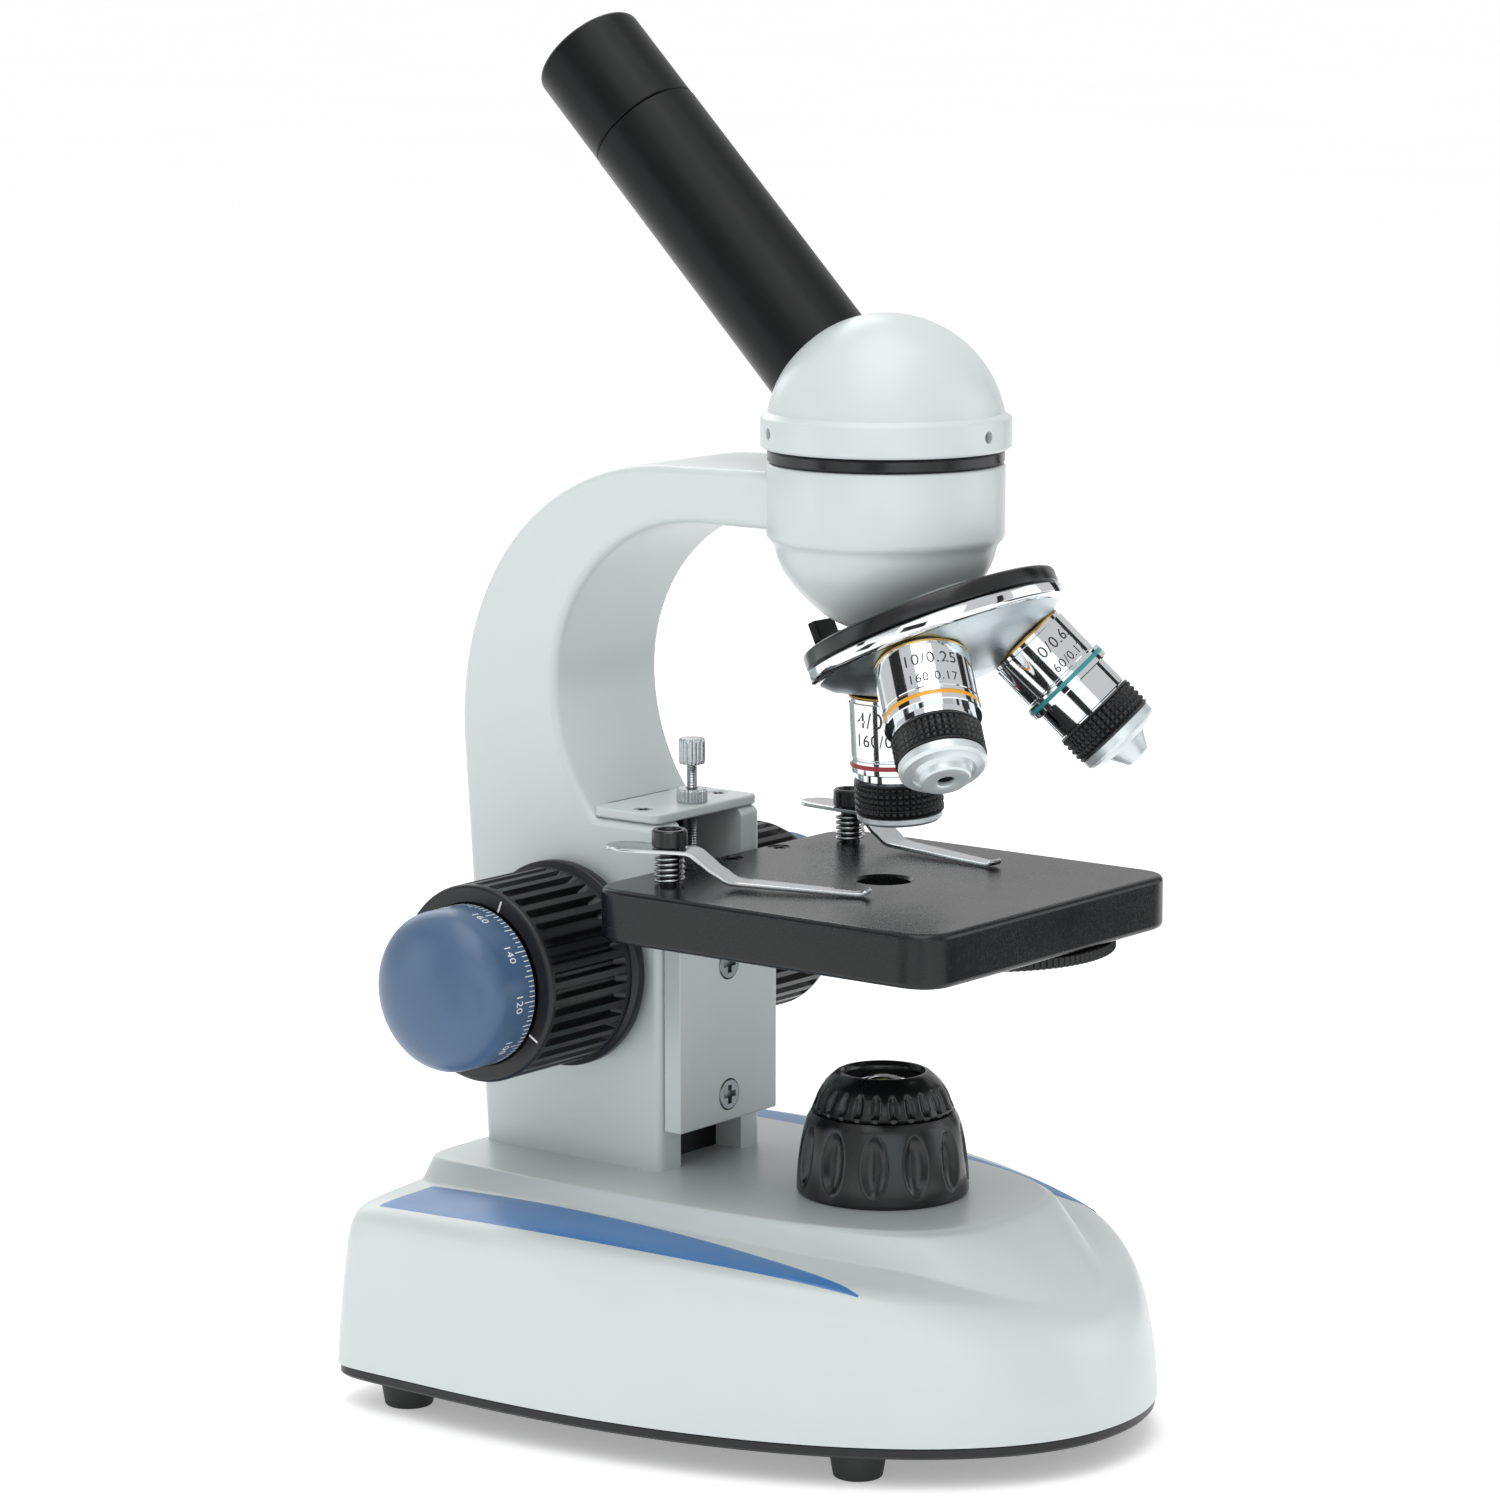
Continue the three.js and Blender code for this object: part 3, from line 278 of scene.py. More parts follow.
def lofted(name: str, rings: Sequence[Sequence[Vector]], closed: bool = True) -> Piece:
    """Draws a skin through rings of points, from the first ring to the last.

    Args:
        name: Name of the new piece.
        rings: Rings of the same count, each going the same way round, in millimetres.
        closed: Whether the first and last rings are filled.

    Returns:
        The new object.
    """
    piece = start_ring(name, len(rings[0]), 1, 0)
    shape = bmesh.from_edit_mesh(piece.data)
    shape.verts.ensure_lookup_table()
    for vertex, point in zip(shape.verts, rings[0]):
        vertex.co = point * MM
    bmesh.update_edit_mesh(piece.data)
    if closed:
        bpy.ops.mesh.edge_face_add()
    for ring, next_ring in zip(rings, rings[1:]):
        bpy.ops.mesh.extrude_region_move()
        shape = bmesh.from_edit_mesh(piece.data)
        where = {tuple(round(c, 7) for c in point * MM): target for point,
                 target in zip(ring, next_ring)}
        for vertex in shape.verts:
            if vertex.select:
                vertex.co = where[tuple(round(c, 7) for c in vertex.co)] * MM
        bmesh.update_edit_mesh(piece.data)
    close_up(piece)
    return piece


def pressed(name: str, outline: Outline, bottom: float, top: float, rim: float = 0,
            steps: int = 3) -> Piece:
    """Pushes an outline up along Z and rounds the edges of both ends.

    Args:
        name: Name of the new piece.
        outline: The outline, seen from above.
        bottom: Its lower height.
        top: Its upper height.
        rim: Size of the rounding, or 0 for none.
        steps: Steps of the rounding.

    Returns:
        The closed solid.
    """
    rings = [[Vector((x, y, z)) for x, y in outline] for z in (bottom, top)]
    piece = lofted(name, rings)
    if rim:
        round_ends(piece, (bottom, top), rim, steps)
    return piece


def round_ends(piece: Piece, heights: Sequence[float], rim: float, steps: int = 3) -> None:
    """Bevels the edges of a piece that lie flat at given heights.

    Args:
        piece: The object to change.
        heights: Heights of the edges.
        rim: Size of the bevel.
        steps: Steps of the bevel.
    """
    only(piece)
    bpy.ops.object.mode_set(mode="EDIT")
    bpy.ops.mesh.select_mode(type="EDGE")
    bpy.ops.mesh.select_all(action="DESELECT")
    shape = bmesh.from_edit_mesh(piece.data)
    for edge in shape.edges:
        level = [min(abs(v.co.z - h * MM) for h in heights) < TOUCH for v in edge.verts]
        bend = len(edge.link_faces) == 2 and edge.calc_face_angle(0) > math.radians(SHARP_BEND)
        edge.select = all(level) and bend
    bmesh.update_edit_mesh(piece.data)
    bpy.ops.mesh.bevel(offset=rim * MM, segments=steps, affect="EDGES", clamp_overlap=True)
    bpy.ops.mesh.select_mode(type="VERT")
    close_up(piece)


def rod(radius: float, low: float, high: float) -> list[Point]:
    """Profile of a plain cylinder on the axis.

    Args:
        radius: Its radius.
        low: Its lower end.
        high: Its upper end.

    Returns:
        The profile.
    """
    return [(0, low), (radius, low), (radius, high), (0, high)]


def drill(profile: Profile, place: Matrix, count: int = SMALL_TURN) -> Piece:
    """A round cutting tool.

    Args:
        profile: Its profile.
        place: Where it goes.
        count: Number of steps round its axis.

    Returns:
        The tool.
    """
    return put(turned("drill", profile, count), place)


def apply_modifier(piece: Piece, kind: str, **settings: object) -> None:
    """Adds a modifier and applies it.

    Args:
        piece: The object to change.
        kind: The modifier's type.
        **settings: Its settings.
    """
    only(piece)
    modifier = piece.modifiers.new(kind.lower(), kind)
    for key, value in settings.items():
        setattr(modifier, key, value)
    bpy.ops.object.modifier_apply(modifier=modifier.name)


def carve(piece: Piece, *tools: Piece) -> None:
    """Cuts tools out of a piece, and removes the tools.

    Args:
        piece: The object to cut.
        *tools: Closed solids.
    """
    for tool in tools:
        apply_modifier(piece, "BOOLEAN", operation="DIFFERENCE", object=tool, solver="EXACT")
        bpy.data.objects.remove(tool)


def put(piece: Piece, place: Matrix) -> Piece:
    """Moves a piece's mesh, leaving its object at the origin.

    Args:
        piece: The object.
        place: The move, in millimetres.

    Returns:
        The same object.
    """
    scaled = place.copy()
    scaled.translation = place.translation * MM
    piece.data.transform(scaled)
    return piece


def at(x: float = 0, y: float = 0, z: float = 0, rx: float = 0, ry: float = 0,
       rz: float = 0) -> Matrix:
    """Place matrix: turns about X, then Y, then Z, then a shift.

    Args:
        x: Shift along X.
        y: Shift along Y.
        z: Shift along Z.
        rx: Turn about X in degrees.
        ry: Turn about Y in degrees.
        rz: Turn about Z in degrees.

    Returns:
        The matrix, in millimetres.
    """
    turn = Euler(tuple(math.radians(a) for a in (rx, ry, rz)), "XYZ").to_matrix().to_4x4()
    return Matrix.Translation((x, y, z)) @ turn


def joined(name: str, pieces: Sequence[Piece]) -> Piece:
    """Joins several pieces into the first.

    Args:
        name: Name of the joined piece.
        pieces: The pieces.

    Returns:
        The joined object.
    """
    only(pieces[0])
    for piece in pieces[1:]:
        piece.select_set(True)
    bpy.ops.object.join()
    pieces[0].name = name
    pieces[0].data.name = name
    return pieces[0]


def push_surface(piece: Piece, depth_at: Callable[[Vector], float]) -> None:
    """Moves each vertex towards the Z axis by a depth that depends on its place.

    Args:
        piece: The object to change, still in its own frame.
        depth_at: Gives the depth in millimetres for a point in millimetres.
    """
    for vertex in piece.data.vertices:
        point = vertex.co / MM
        radius = math.hypot(point.x, point.y)
        if radius < 1e-3:
            continue
        share = max(radius - depth_at(point), 0) / radius
        vertex.co.x *= share
        vertex.co.y *= share


def copied(piece: Piece, name: str) -> Piece:
    """Copies a piece with its own mesh.

    Args:
        piece: The piece to copy.
        name: Name of the copy.

    Returns:
        The copy.
    """
    twin = piece.copy()
    twin.data = piece.data.copy()
    twin.name = name
    twin.data.name = name
    bpy.context.scene.collection.objects.link(twin)
    return twin


# ---- Materials ----


def linear(shade: str) -> tuple[float, float, float, float]:
    """Turns an sRGB hex colour into a linear one.

    Args:
        shade: The colour as #rrggbb.

    Returns:
        Red, green, blue and alpha.
    """
    parts = [int(shade[i : i + 2], 16) / 255 for i in (1, 3, 5)]
    turned_linear = [c / 12.92 if c <= 0.04045 else ((c + 0.055) / 1.055) ** 2.4 for c in parts]
    return (*turned_linear, 1.0)


def add_node(tree: bpy.types.NodeTree, kind: str, settings: dict | None = None,
    inputs: dict | None = None) -> bpy.types.Node:
    """Adds a node with its settings, values and links.

    Args:
        tree: The material's node tree.
        kind: The node's type.
        settings: Its properties.
        inputs: Value or source socket of each input, by name or number.

    Returns:
        The new node.
    """
    made = tree.nodes.new(kind)
    for key, value in (settings or {}).items():
        setattr(made, key, value)
    for key, value in (inputs or {}).items():
        if isinstance(value, bpy.types.NodeSocket):
            tree.links.new(value, made.inputs[key])
        else:
            made.inputs[key].default_value = value
    return made


class Coords(Enum):
    """Where a pattern takes its place from."""

    OWN = "own"
    OBJECT = "object"


class Grain(Enum):
    """How a pattern runs over a surface."""

    EVEN = (1.0, 1.0, 1.0)
    TURNED = (0.12, 0.12, 1.0)


@dataclass(frozen=True)
class Finish:
    """A finish: one shader with a fine grain and slow changes of gloss and shade.

    grain_mm is the real size of the grain that the bump shows, mottle_mm that of the
    slow changes. bump_um is the grain's height in micrometres.
    """

    name: str
    shade: str
    second_shade: str
    roughness: float
    metallic: float = 0.0
    ior: float = 1.5
    coat: float = 0.0
    coat_roughness: float = 0.1
    grain_mm: float = 0.3
    bump_um: float = 4.0
    mottle_mm: float = 12.0
    roughness_spread: float = 0.08
    grain: Grain = Grain.EVEN
    transmission: float = 0.0
    glow: float = 0.0

    def material(self, coords: Coords = Coords.OWN) -> bpy.types.Material:
        """Returns the finish's material, made at the first call.

        Args:
            coords: Where the pattern takes its place from.

        Returns:
            The material.
        """
        name = self.name if coords is Coords.OWN else f"{self.name}_{coords.value}"
        known = bpy.data.materials.get(name)
        return known or self._build(name, coords)

    def _build(self, name: str, coords: Coords) -> bpy.types.Material:
        """Makes the material.

        Args:
            name: Its name.
            coords: Where the pattern takes its place from.

        Returns:
            The new material.
        """
        made = bpy.data.materials.new(name)
        made.use_nodes = True
        tree = made.node_tree
        tree.nodes.clear()
        if coords is Coords.OWN:
            place = add_node(tree, "ShaderNodeAttribute",
                {"attribute_name": OWN_PLACE}).outputs["Vector"]
        else:
            place = add_node(tree, "ShaderNodeTexCoord").outputs["Object"]
        stretched = add_node(tree, "ShaderNodeVectorMath", {"operation": "MULTIPLY"},
            {0: place, 1: self.grain.value})
        fine = add_node(tree, "ShaderNodeTexNoise", None, {
            "Vector": stretched.outputs[0], "Scale": 1 / (self.grain_mm * MM), "Detail": 3.0,
        })
        slow = add_node(tree, "ShaderNodeTexNoise", None, {
            "Vector": place, "Scale": 1 / (self.mottle_mm * MM), "Detail": 4.0,
        })
        tint = add_node(tree, "ShaderNodeMix", {"data_type": "RGBA"}, {
            "Factor": slow.outputs["Fac"], 6: linear(self.shade), 7: linear(self.second_shade),
        })
        both = add_node(tree, "ShaderNodeMath", {"operation": "ADD"}, {
            0: slow.outputs["Fac"], 1: fine.outputs["Fac"],
        })
        gloss = add_node(tree, "ShaderNodeMapRange", None, {
            "Value": both.outputs[0], "From Min": 0.6, "From Max": 1.4,
            "To Min": max(self.roughness - self.roughness_spread, 0.02),
            "To Max": self.roughness + self.roughness_spread,
        })
        relief = add_node(tree, "ShaderNodeBump", None, {
            "Height": fine.outputs["Fac"], "Strength": 1.0, "Distance": self.bump_um * 1e-6,
        })
        shader = add_node(tree, "ShaderNodeBsdfPrincipled", None, {
            "Base Color": tint.outputs[2], "Metallic": self.metallic, "Roughness": gloss.outputs[0],
            "IOR": self.ior, "Normal": relief.outputs[0], "Coat Weight": self.coat,
            "Coat Roughness": self.coat_roughness, "Transmission Weight": self.transmission,
            "Emission Strength": self.glow, "Emission Color": linear(self.shade),
        })
        add_node(tree, "ShaderNodeOutputMaterial", None, {"Surface": shader.outputs[0]})
        made.diffuse_color = linear(self.shade)
        return made


# Baked enamel on cast iron: a cool off-white with a satin gloss and a faint orange peel.
ENAMEL = Finish("baked_enamel", "#c9d2d1", "#cfd7d6", 0.36, coat=0.25, coat_roughness=0.22,
                grain_mm=1.1, bump_um=9, mottle_mm=35, roughness_spread=0.05)
# Printed vinyl film: an even blue, slightly glossier than the enamel under it.
BLUE_FILM = Finish("vinyl_film_blue", "#4178b4", "#4b81ba", 0.34, bump_um=0.3, mottle_mm=20)
# Injection-moulded ABS in slate blue: soft highlights and a very fine moulded texture.
BLUE_ABS = Finish("moulded_abs_blue", "#425c7b", "#496485", 0.33, grain_mm=0.25, bump_um=1,
    mottle_mm=9)
# Injection-moulded ABS in black: satin, with a fine moulded texture.
BLACK_ABS = Finish("moulded_abs_black", "#0f1012", "#141517", 0.36, ior=1.46, grain_mm=0.3,
    bump_um=2, mottle_mm=8)
# Smooth ABS: deep black with clear highlights, as on the lamp's hood.
GLOSS_ABS = Finish("polished_abs_black", "#0c0d0e", "#111214", 0.24, grain_mm=0.6, bump_um=0.4,
    mottle_mm=10,
                   roughness_spread=0.05)
# Anodised aluminium: black satin with fine turning lines round the tube.
BLACK_ANODISED = Finish("anodised_aluminium_black", "#0b0c0d", "#0f1011", 0.34, ior=1.28,
    grain_mm=0.16, bump_um=2,
                        mottle_mm=14, grain=Grain.TURNED)
# Stoved black enamel on the pressed stage: satin with a slight grain that catches the light.
BLACK_ENAMEL = Finish("stoved_enamel_black", "#0f1012", "#141517", 0.26, ior=1.42, grain_mm=0.7,
    bump_um=0.4, mottle_mm=22,
                      roughness_spread=0.06)
# Nitrile rubber: matt, with a dusty grain.
RUBBER = Finish("nitrile_rubber", "#18191a", "#222324", 0.62, grain_mm=0.4, bump_um=12, mottle_mm=5)
# Bright chrome plating over turned brass: a mirror with faint turning lines.
CHROME = Finish("chrome_plating", "#e6e9eb", "#dfe3e6", 0.07, metallic=1.0, grain_mm=0.2,
    bump_um=0.25,
                mottle_mm=6, roughness_spread=0.03, grain=Grain.TURNED)
# Satin chrome on the objectives' front caps: bright and soft, with turning lines.
SATIN_CHROME = Finish("satin_chrome_plating", "#d3dbde", "#dbe2e4", 0.38, metallic=0.6,
    grain_mm=0.25, bump_um=1,
                      mottle_mm=5, roughness_spread=0.05, grain=Grain.TURNED)
# Zinc-plated socket screws: grey and a little dull.
ZINC = Finish("zinc_plated_steel", "#8b9294", "#777d80", 0.32, metallic=1.0, grain_mm=0.3,
    bump_um=1.5, mottle_mm=2)
# Satin nickel plating on the turret's cast dish: soft, bluish reflections.
SATIN_NICKEL = Finish("satin_nickel_plating", "#b9c4c8", "#c6ced1", 0.34, metallic=1.0,
    grain_mm=0.35,
                      bump_um=2.5, mottle_mm=10, grain=Grain.TURNED)
# Nickel-plated steel of screws, posts and springs: bright with slight wear.
PLATED_STEEL = Finish("nickel_plated_steel", "#c3c6c7", "#aeb2b4", 0.24, metallic=1.0,
    grain_mm=0.25,
                      bump_um=1.5, mottle_mm=2.5)
# Spring-steel strip: rolled bright, with a faint even grain.
SPRING_STEEL = Finish("rolled_spring_steel", "#cfd2d3", "#bfc3c5", 0.2, metallic=1.0, grain_mm=0.22,
                      bump_um=1.2, mottle_mm=7)
# Thin brass washer at each objective's shoulder.
BRASS = Finish("turned_brass", "#c9a35c", "#b8924c", 0.25, metallic=1.0, grain_mm=0.2, bump_um=1.5,
    mottle_mm=4)
# Crown glass: clear and polished.
CROWN_GLASS = Finish("crown_glass", "#eef4f6", "#e8f0f3", 0.03, ior=1.52, bump_um=0.1,
    roughness_spread=0.01,
                     transmission=1.0)
# Coated front glass seen against the dark inside of a barrel.
DARK_GLASS = Finish("coated_glass_dark", "#0b0d12", "#12161e", 0.05, ior=1.6, bump_um=0.1,
                    roughness_spread=0.02, coat=0.6, coat_roughness=0.03)
# Printing inks and paint fills: matt, even colours.
WHITE_INK = Finish("screen_ink_white", "#e9ecec", "#dfe3e3", 0.5, bump_um=2, mottle_mm=3)
BLACK_INK = Finish("engraving_ink_black", "#1c1d1f", "#232426", 0.5, bump_um=2, mottle_mm=3)
RED_FILL = Finish("enamel_fill_red", "#b01f2b", "#a51b27", 0.3, bump_um=1, mottle_mm=4)
YELLOW_FILL = Finish("enamel_fill_yellow", "#e8a51e", "#e09b18", 0.3, bump_um=1, mottle_mm=4)
TEAL_FILL = Finish("enamel_fill_teal", "#2f8f96", "#2a878e", 0.3, bump_um=1, mottle_mm=4)
# Phosphor cap of the lamp's light-emitting diode.
PHOSPHOR = Finish("diode_phosphor", "#f3e7a6", "#efe09a", 0.4, bump_um=1, mottle_mm=2)


class Slot(Enum):
    """Material slots of the part's record."""

    ENAMEL = "enamel"
    BLUE_TRIM = "blue_trim"
    KNOB_BLUE = "knob_blue"
    BLACK_PLASTIC = "black_plastic"
    BLACK_PAINT = "black_paint"
    RUBBER = "rubber"
    CHROME = "chrome"
    NICKEL = "nickel"
    STEEL = "steel"
    GLASS = "glass"


@dataclass
class Bench:
    """The row frame: where the drawing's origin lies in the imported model."""

    nodes: dict
    shift_y: float = 0.0
    made: int = 0

    def __post_init__(self) -> None:
        """Reads the optical axis off the lamp's hood."""
        low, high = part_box("lamp_housing")
        self.shift_y = (low.y + high.y) / 2 / MM - OPTICAL_Y

    def finish(self, piece: Piece, place: Matrix, look: Finish, body: str, slot: Slot,
               stands_for: Sequence[str] = (), angle: float = 32, even: bool = False) -> Piece:
        """Puts a piece in its place, dresses it and fixes it to its body.

        Args:
            piece: The piece, modelled in its own frame.
            place: Its place in the drawing.
            look: Its finish.
            body: The body that it moves with.
            slot: The record's slot for the piece. It is not used.
            stands_for: CAD nodes that it replaces.
            angle: Edges bent by less than this, in degrees, are shaded smooth.
            even: Whether large flat faces keep their own shading beside rounded edges.

        Returns:
            The finished piece.
        """
        own = piece.data.attributes.new(OWN_PLACE, "FLOAT_VECTOR", "POINT")
        flat = [c for vertex in piece.data.vertices for c in vertex.co]
        own.data.foreach_set("vector", flat)
        put(piece, Matrix.Translation((0, self.shift_y, 0)) @ place)
        piece.data.materials.clear()
        piece.data.materials.append(look.material())
        only(piece)
        bpy.ops.object.shade_smooth_by_angle(angle=math.radians(angle), keep_sharp_edges=False)
        if even:
            apply_modifier(piece, "WEIGHTED_NORMAL", keep_sharp=True, weight=80)
        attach(piece, body)
        if stands_for:
            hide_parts(*stands_for)
        self.made += 1
        log.info("%s: %d faces on %s", piece.name, len(piece.data.polygons), body)
        return piece

    def dress(self, node: str, look: Finish) -> None:
        """Gives a carried-over CAD node a finish.

        Args:
            node: The node's name.
            look: Its finish.
        """
        target = self.nodes[node]
        if not target.material_slots:
            target.data.materials.append(look.material(Coords.OBJECT))
        for held in target.material_slots:
            held.material = look.material(Coords.OBJECT)


# ---- Base ----


@dataclass
class Base:
    """Cast base: an oval skin with a raised deck, trim strips, bottom plate and feet."""

    bottom: float = 9.1
    half_width: float = 69
    rear: float = 84.5
    middle: float = 50
    nose: float = -79.5
    crown: float = 45.2
    crown_y: float = 38
    sag: float = 0.00055
    dip_start: float = -42
    dip: float = 7
    deck_top: float = 49.6
    deck_half_width: float = 37
    deck_rear: float = 82
    deck_middle: float = 55
    deck_nose: float = -50
    nose_power: float = 2.1
    rear_power: float = 12
    count: int = 176
    plate: Point = (6.5, 8.9)
    feet: tuple[tuple[str, float, float], ...] = (
        ("rear_left", -58, 68.5), ("rear_right", 58, 68.5), ("front_left", -39.5, -40),
        ("front_right", 39.5, -40),
    )
    switch_x: float = 17
    inlet_x: float = -17
    panel_z: float = 24

    def shoulder(self, y: float) -> float:
        """Height of the shoulder beside the deck.

        Args:
            y: Place along the base.

        Returns:
            The height in millimetres.
        """
        share = max(0.0, self.dip_start - y) / (self.dip_start - self.nose)
        return self.crown - self.sag * (y - self.crown_y) ** 2 - self.dip * share**1.5

    def ring(self, half_width: float, rear: float, middle: float, nose: float, power: float,
             height: Callable[[float], float]) -> list[Vector]:
        """One ring of the oval plan.

        Args:
            half_width: Half its width.
            rear: Its rear end along Y.
            middle: Where its rear half meets its front half.
            nose: Its front end along Y.
            power: Roundness of its front half, 2 for an ellipse.
            height: Height of a point as a function of Y.

        Returns:
            The ring's points.
        """
        points = []
        for i in range(self.count):
            angle = 2 * math.pi * i / self.count
            across, along = math.cos(angle), math.sin(angle)
            bend = self.rear_power if along > 0 else power
            reach = rear - middle if along > 0 else middle - nose
            x = half_width * math.copysign(abs(across) ** (2 / bend), across)
            y = middle + reach * math.copysign(abs(along) ** (2 / bend), along)
            points.append(Vector((x, y, height(y))))
        return points

    def outer(self, inset: float, rear_inset: float, nose_inset: float,
              height: Callable[[float], float]) -> list[Vector]:
        """A ring of the outer wall.

        Args:
            inset: How far it lies inside the widest ring.
            rear_inset: The same at the rear.
            nose_inset: The same at the nose.
            height: Height of a point as a function of Y.

        Returns:
            The ring's points.
        """
        return self.ring(self.half_width - inset, self.rear - rear_inset, self.middle,
                         self.nose + nose_inset, self.nose_power, height)

    def below(self, drop: float) -> Callable[[float], float]:
        """Height function of a ring that lies below the shoulder, more so at the nose.

        Args:
            drop: Its drop at the rear.

        Returns:
            The function.
        """
        def height(y: float) -> float:
            """Height at a place along the base.

            Args:
                y: The place.

            Returns:
                The height.
            """
            share = min(max(-y / -self.nose, 0), 1)
            share = share * share * (3 - 2 * share)
            return self.shoulder(y) - drop * (1 + 0.25 * share)
        return height

    def deck_ring(self, outset: float, nose_outset: float, power: float,
        height: Callable[[float], float]) -> list[Vector]:
        """A ring round the deck.

        Args:
            outset: How far it lies outside the deck's plan.
            nose_outset: The same at the deck's front.
            power: Roundness of its front half.
            height: Height of a point as a function of Y.

        Returns:
            The ring's points.
        """
        return self.ring(self.deck_half_width + outset, self.deck_rear + outset * 0.08,
            self.deck_middle,
                         self.deck_nose - nose_outset, power, height)

    def skin_rings(self) -> list[list[Vector]]:
        """The skin's rings from the bottom edge to the deck, with smooth steps between them.

        Returns:
            The rings.
        """
        stations = [
            self.outer(0, 0, 0, lambda y: self.bottom),
            self.outer(0.6, 0.5, 0.5,
                       lambda y: self.bottom + 0.3 * (self.shoulder(y) - self.bottom)),
            self.outer(2, 1.8, 1.8, self.below(8)),
            self.outer(2.9, 2.1, 3, self.below(4.6)),
            self.outer(4.6, 2.6, 5.2, self.below(1.9)),
            self.outer(7.8, 3.4, 8.6, self.below(0.5)),
            self.deck_ring(5.4, 18.5, 2.4, lambda y: self.shoulder(y) + 0.3),
            self.deck_ring(4.2, 15.5, 2.5,
                lambda y: self.shoulder(y) + 0.14 * (self.deck_top - self.shoulder(y))),
            self.deck_ring(1.6, 3.4, 3.2, lambda y: self.deck_top - 1.5),
            self.deck_ring(0.8, 0.6, 3.3, lambda y: self.deck_top - 0.45),
            self.deck_ring(0.3, -0.2, 3.3, lambda y: self.deck_top - 0.1),
            self.deck_ring(-0.7, -1.4, 3.3, lambda y: self.deck_top),
        ]
        steps = 4
        rings = [stations[0]]
        for i in range(len(stations) - 1):
            around = [stations[min(max(k, 0), len(stations) - 1)] for k in range(i - 1, i + 3)]
            gap = [max((around[k + 1][0] - around[k][0]).length, 0.4) for k in range(3)]
            for step in range(1, steps + 1):
                t = step / steps
                ring = []
                for before, here, there, after in zip(*around):
                    pull = gap[1] / (gap[0] + gap[1])
                    slope_here = (there - before) * pull
                    slope_there = (after - here) * (gap[1] / (gap[1] + gap[2]))
                    h00, h10 = 2 * t**3 - 3 * t**2 + 1, t**3 - 2 * t**2 + t
                    h01, h11 = -2 * t**3 + 3 * t**2, t**3 - t**2
                    ring.append(here * h00 + slope_here * h10 + there * h01 + slope_there * h11)
                rings.append(ring)
        return rings

    def strip(self, shell: Piece) -> Piece:
        """Lays the left trim strip on the shell.

        Args:
            shell: The shell, in the drawing's frame.

        Returns:
            The strip.
        """
        skin = BVHTree.FromPolygons([v.co / MM for v in shell.data.vertices],
                                    [tuple(p.vertices) for p in shell.data.polygons])
        left = [(-61, 74)] + bezier((-61, 74), (-60.5, 35), (-57, -8), (-43.9, -43), 60)
        right = [(-43, 74)] + bezier((-43, 74), (-41, 40), (-41.6, -10), (-43.5, -43), 60)
        across, passes = 12, 6
        rows = []
        for (x0, y0), (x1, y1) in zip(left, right):
            flat = [(x0 + (x1 - x0) * k / across,
                     y0 + (y1 - y0) * k / across) for k in range(across + 1)]
            hits = [skin.ray_cast(Vector((x, y, 90)), Vector((0, 0, -1)))[0] for x, y in flat]
            rows.append([Vector((x, y, hit.z)) for (x, y), hit in zip(flat, hits)])
        for _ in range(passes):
            heights = [[point.z for point in row] for row in rows]
            for i in range(1, len(rows) - 1):
                for k in range(1, across):
                    rows[i][k].z = (heights[i - 1][k] + heights[i + 1][
                        k] + heights[i][k - 1] + heights[i][k + 1]) / 4
        lift, thickness = Vector((0, 0, 0.2)), Vector((0, 0, 0.7))
        for row in rows:
            for k in range(across + 1):
                row[k] += lift * (1 if 0 < k < across else 0.15)
        return lofted("trim_strip_left",
            [row + [point - thickness for point in reversed(row)] for row in rows])

    def build(self, bench: Bench) -> None:
        """Models and dresses the base.

        Args:
            bench: Where finished pieces go.
        """
        shell = lofted("base_casting", self.skin_rings())
        strip = self.strip(shell)
        rocker_hole = pressed("hole", box_outline(self.switch_x - 7, 76, self.switch_x + 7, 90),
                              self.panel_z - 5, self.panel_z + 5)
        inlet_hole = drill(rod(5.6, 0, 20), at(self.inlet_x, 90, self.panel_z, rx=90))
        carve(shell, rocker_hole, inlet_hole)
        bench.finish(shell, Matrix(), ENAMEL, "frame", Slot.ENAMEL, ["base_shell"], angle=40)
        mirrored = copied(strip, "trim_strip_right")
        put(mirrored, Matrix.Scale(-1, 4, (1, 0, 0)))
        only(mirrored)
        bpy.ops.object.mode_set(mode="EDIT")
        close_up(mirrored)
        bench.finish(strip, Matrix(), BLUE_FILM, "frame", Slot.BLUE_TRIM, ["strip_left"], angle=60)
        bench.finish(mirrored, Matrix(), BLUE_FILM, "frame", Slot.BLUE_TRIM, ["strip_right"],
            angle=60)
        low, high = self.plate
        rim = 0.6
        levels = [(1.1, low), (0.5, low + rim), (0.5, high - 0.2), (0.9, high)]
        plate = lofted("bottom_cover", [self.outer(i, i, i, lambda y, z=z: z) for i, z in levels])
        bench.finish(plate, Matrix(), BLACK_ABS, "frame", Slot.BLACK_PLASTIC, ["bottom_plate"],
            even=True)
        foot = turned("rubber_foot", [
            (0, 0.5), (3.2, 0.5), *arc(0.7, (4.6, 0.7), 270, 340, 4), (6.1, 5.4), (6.4, 6.2),
            (6.2, 6.4), (0, 6.4),
        ], SMALL_TURN)
        for name, x, y in self.feet:
            bench.finish(copied(foot, f"rubber_{name}"), at(x, y, 0), RUBBER, "frame", Slot.RUBBER,
                [f"foot_{name}"])
        bpy.data.objects.remove(foot)
        self.build_power_entry(bench)

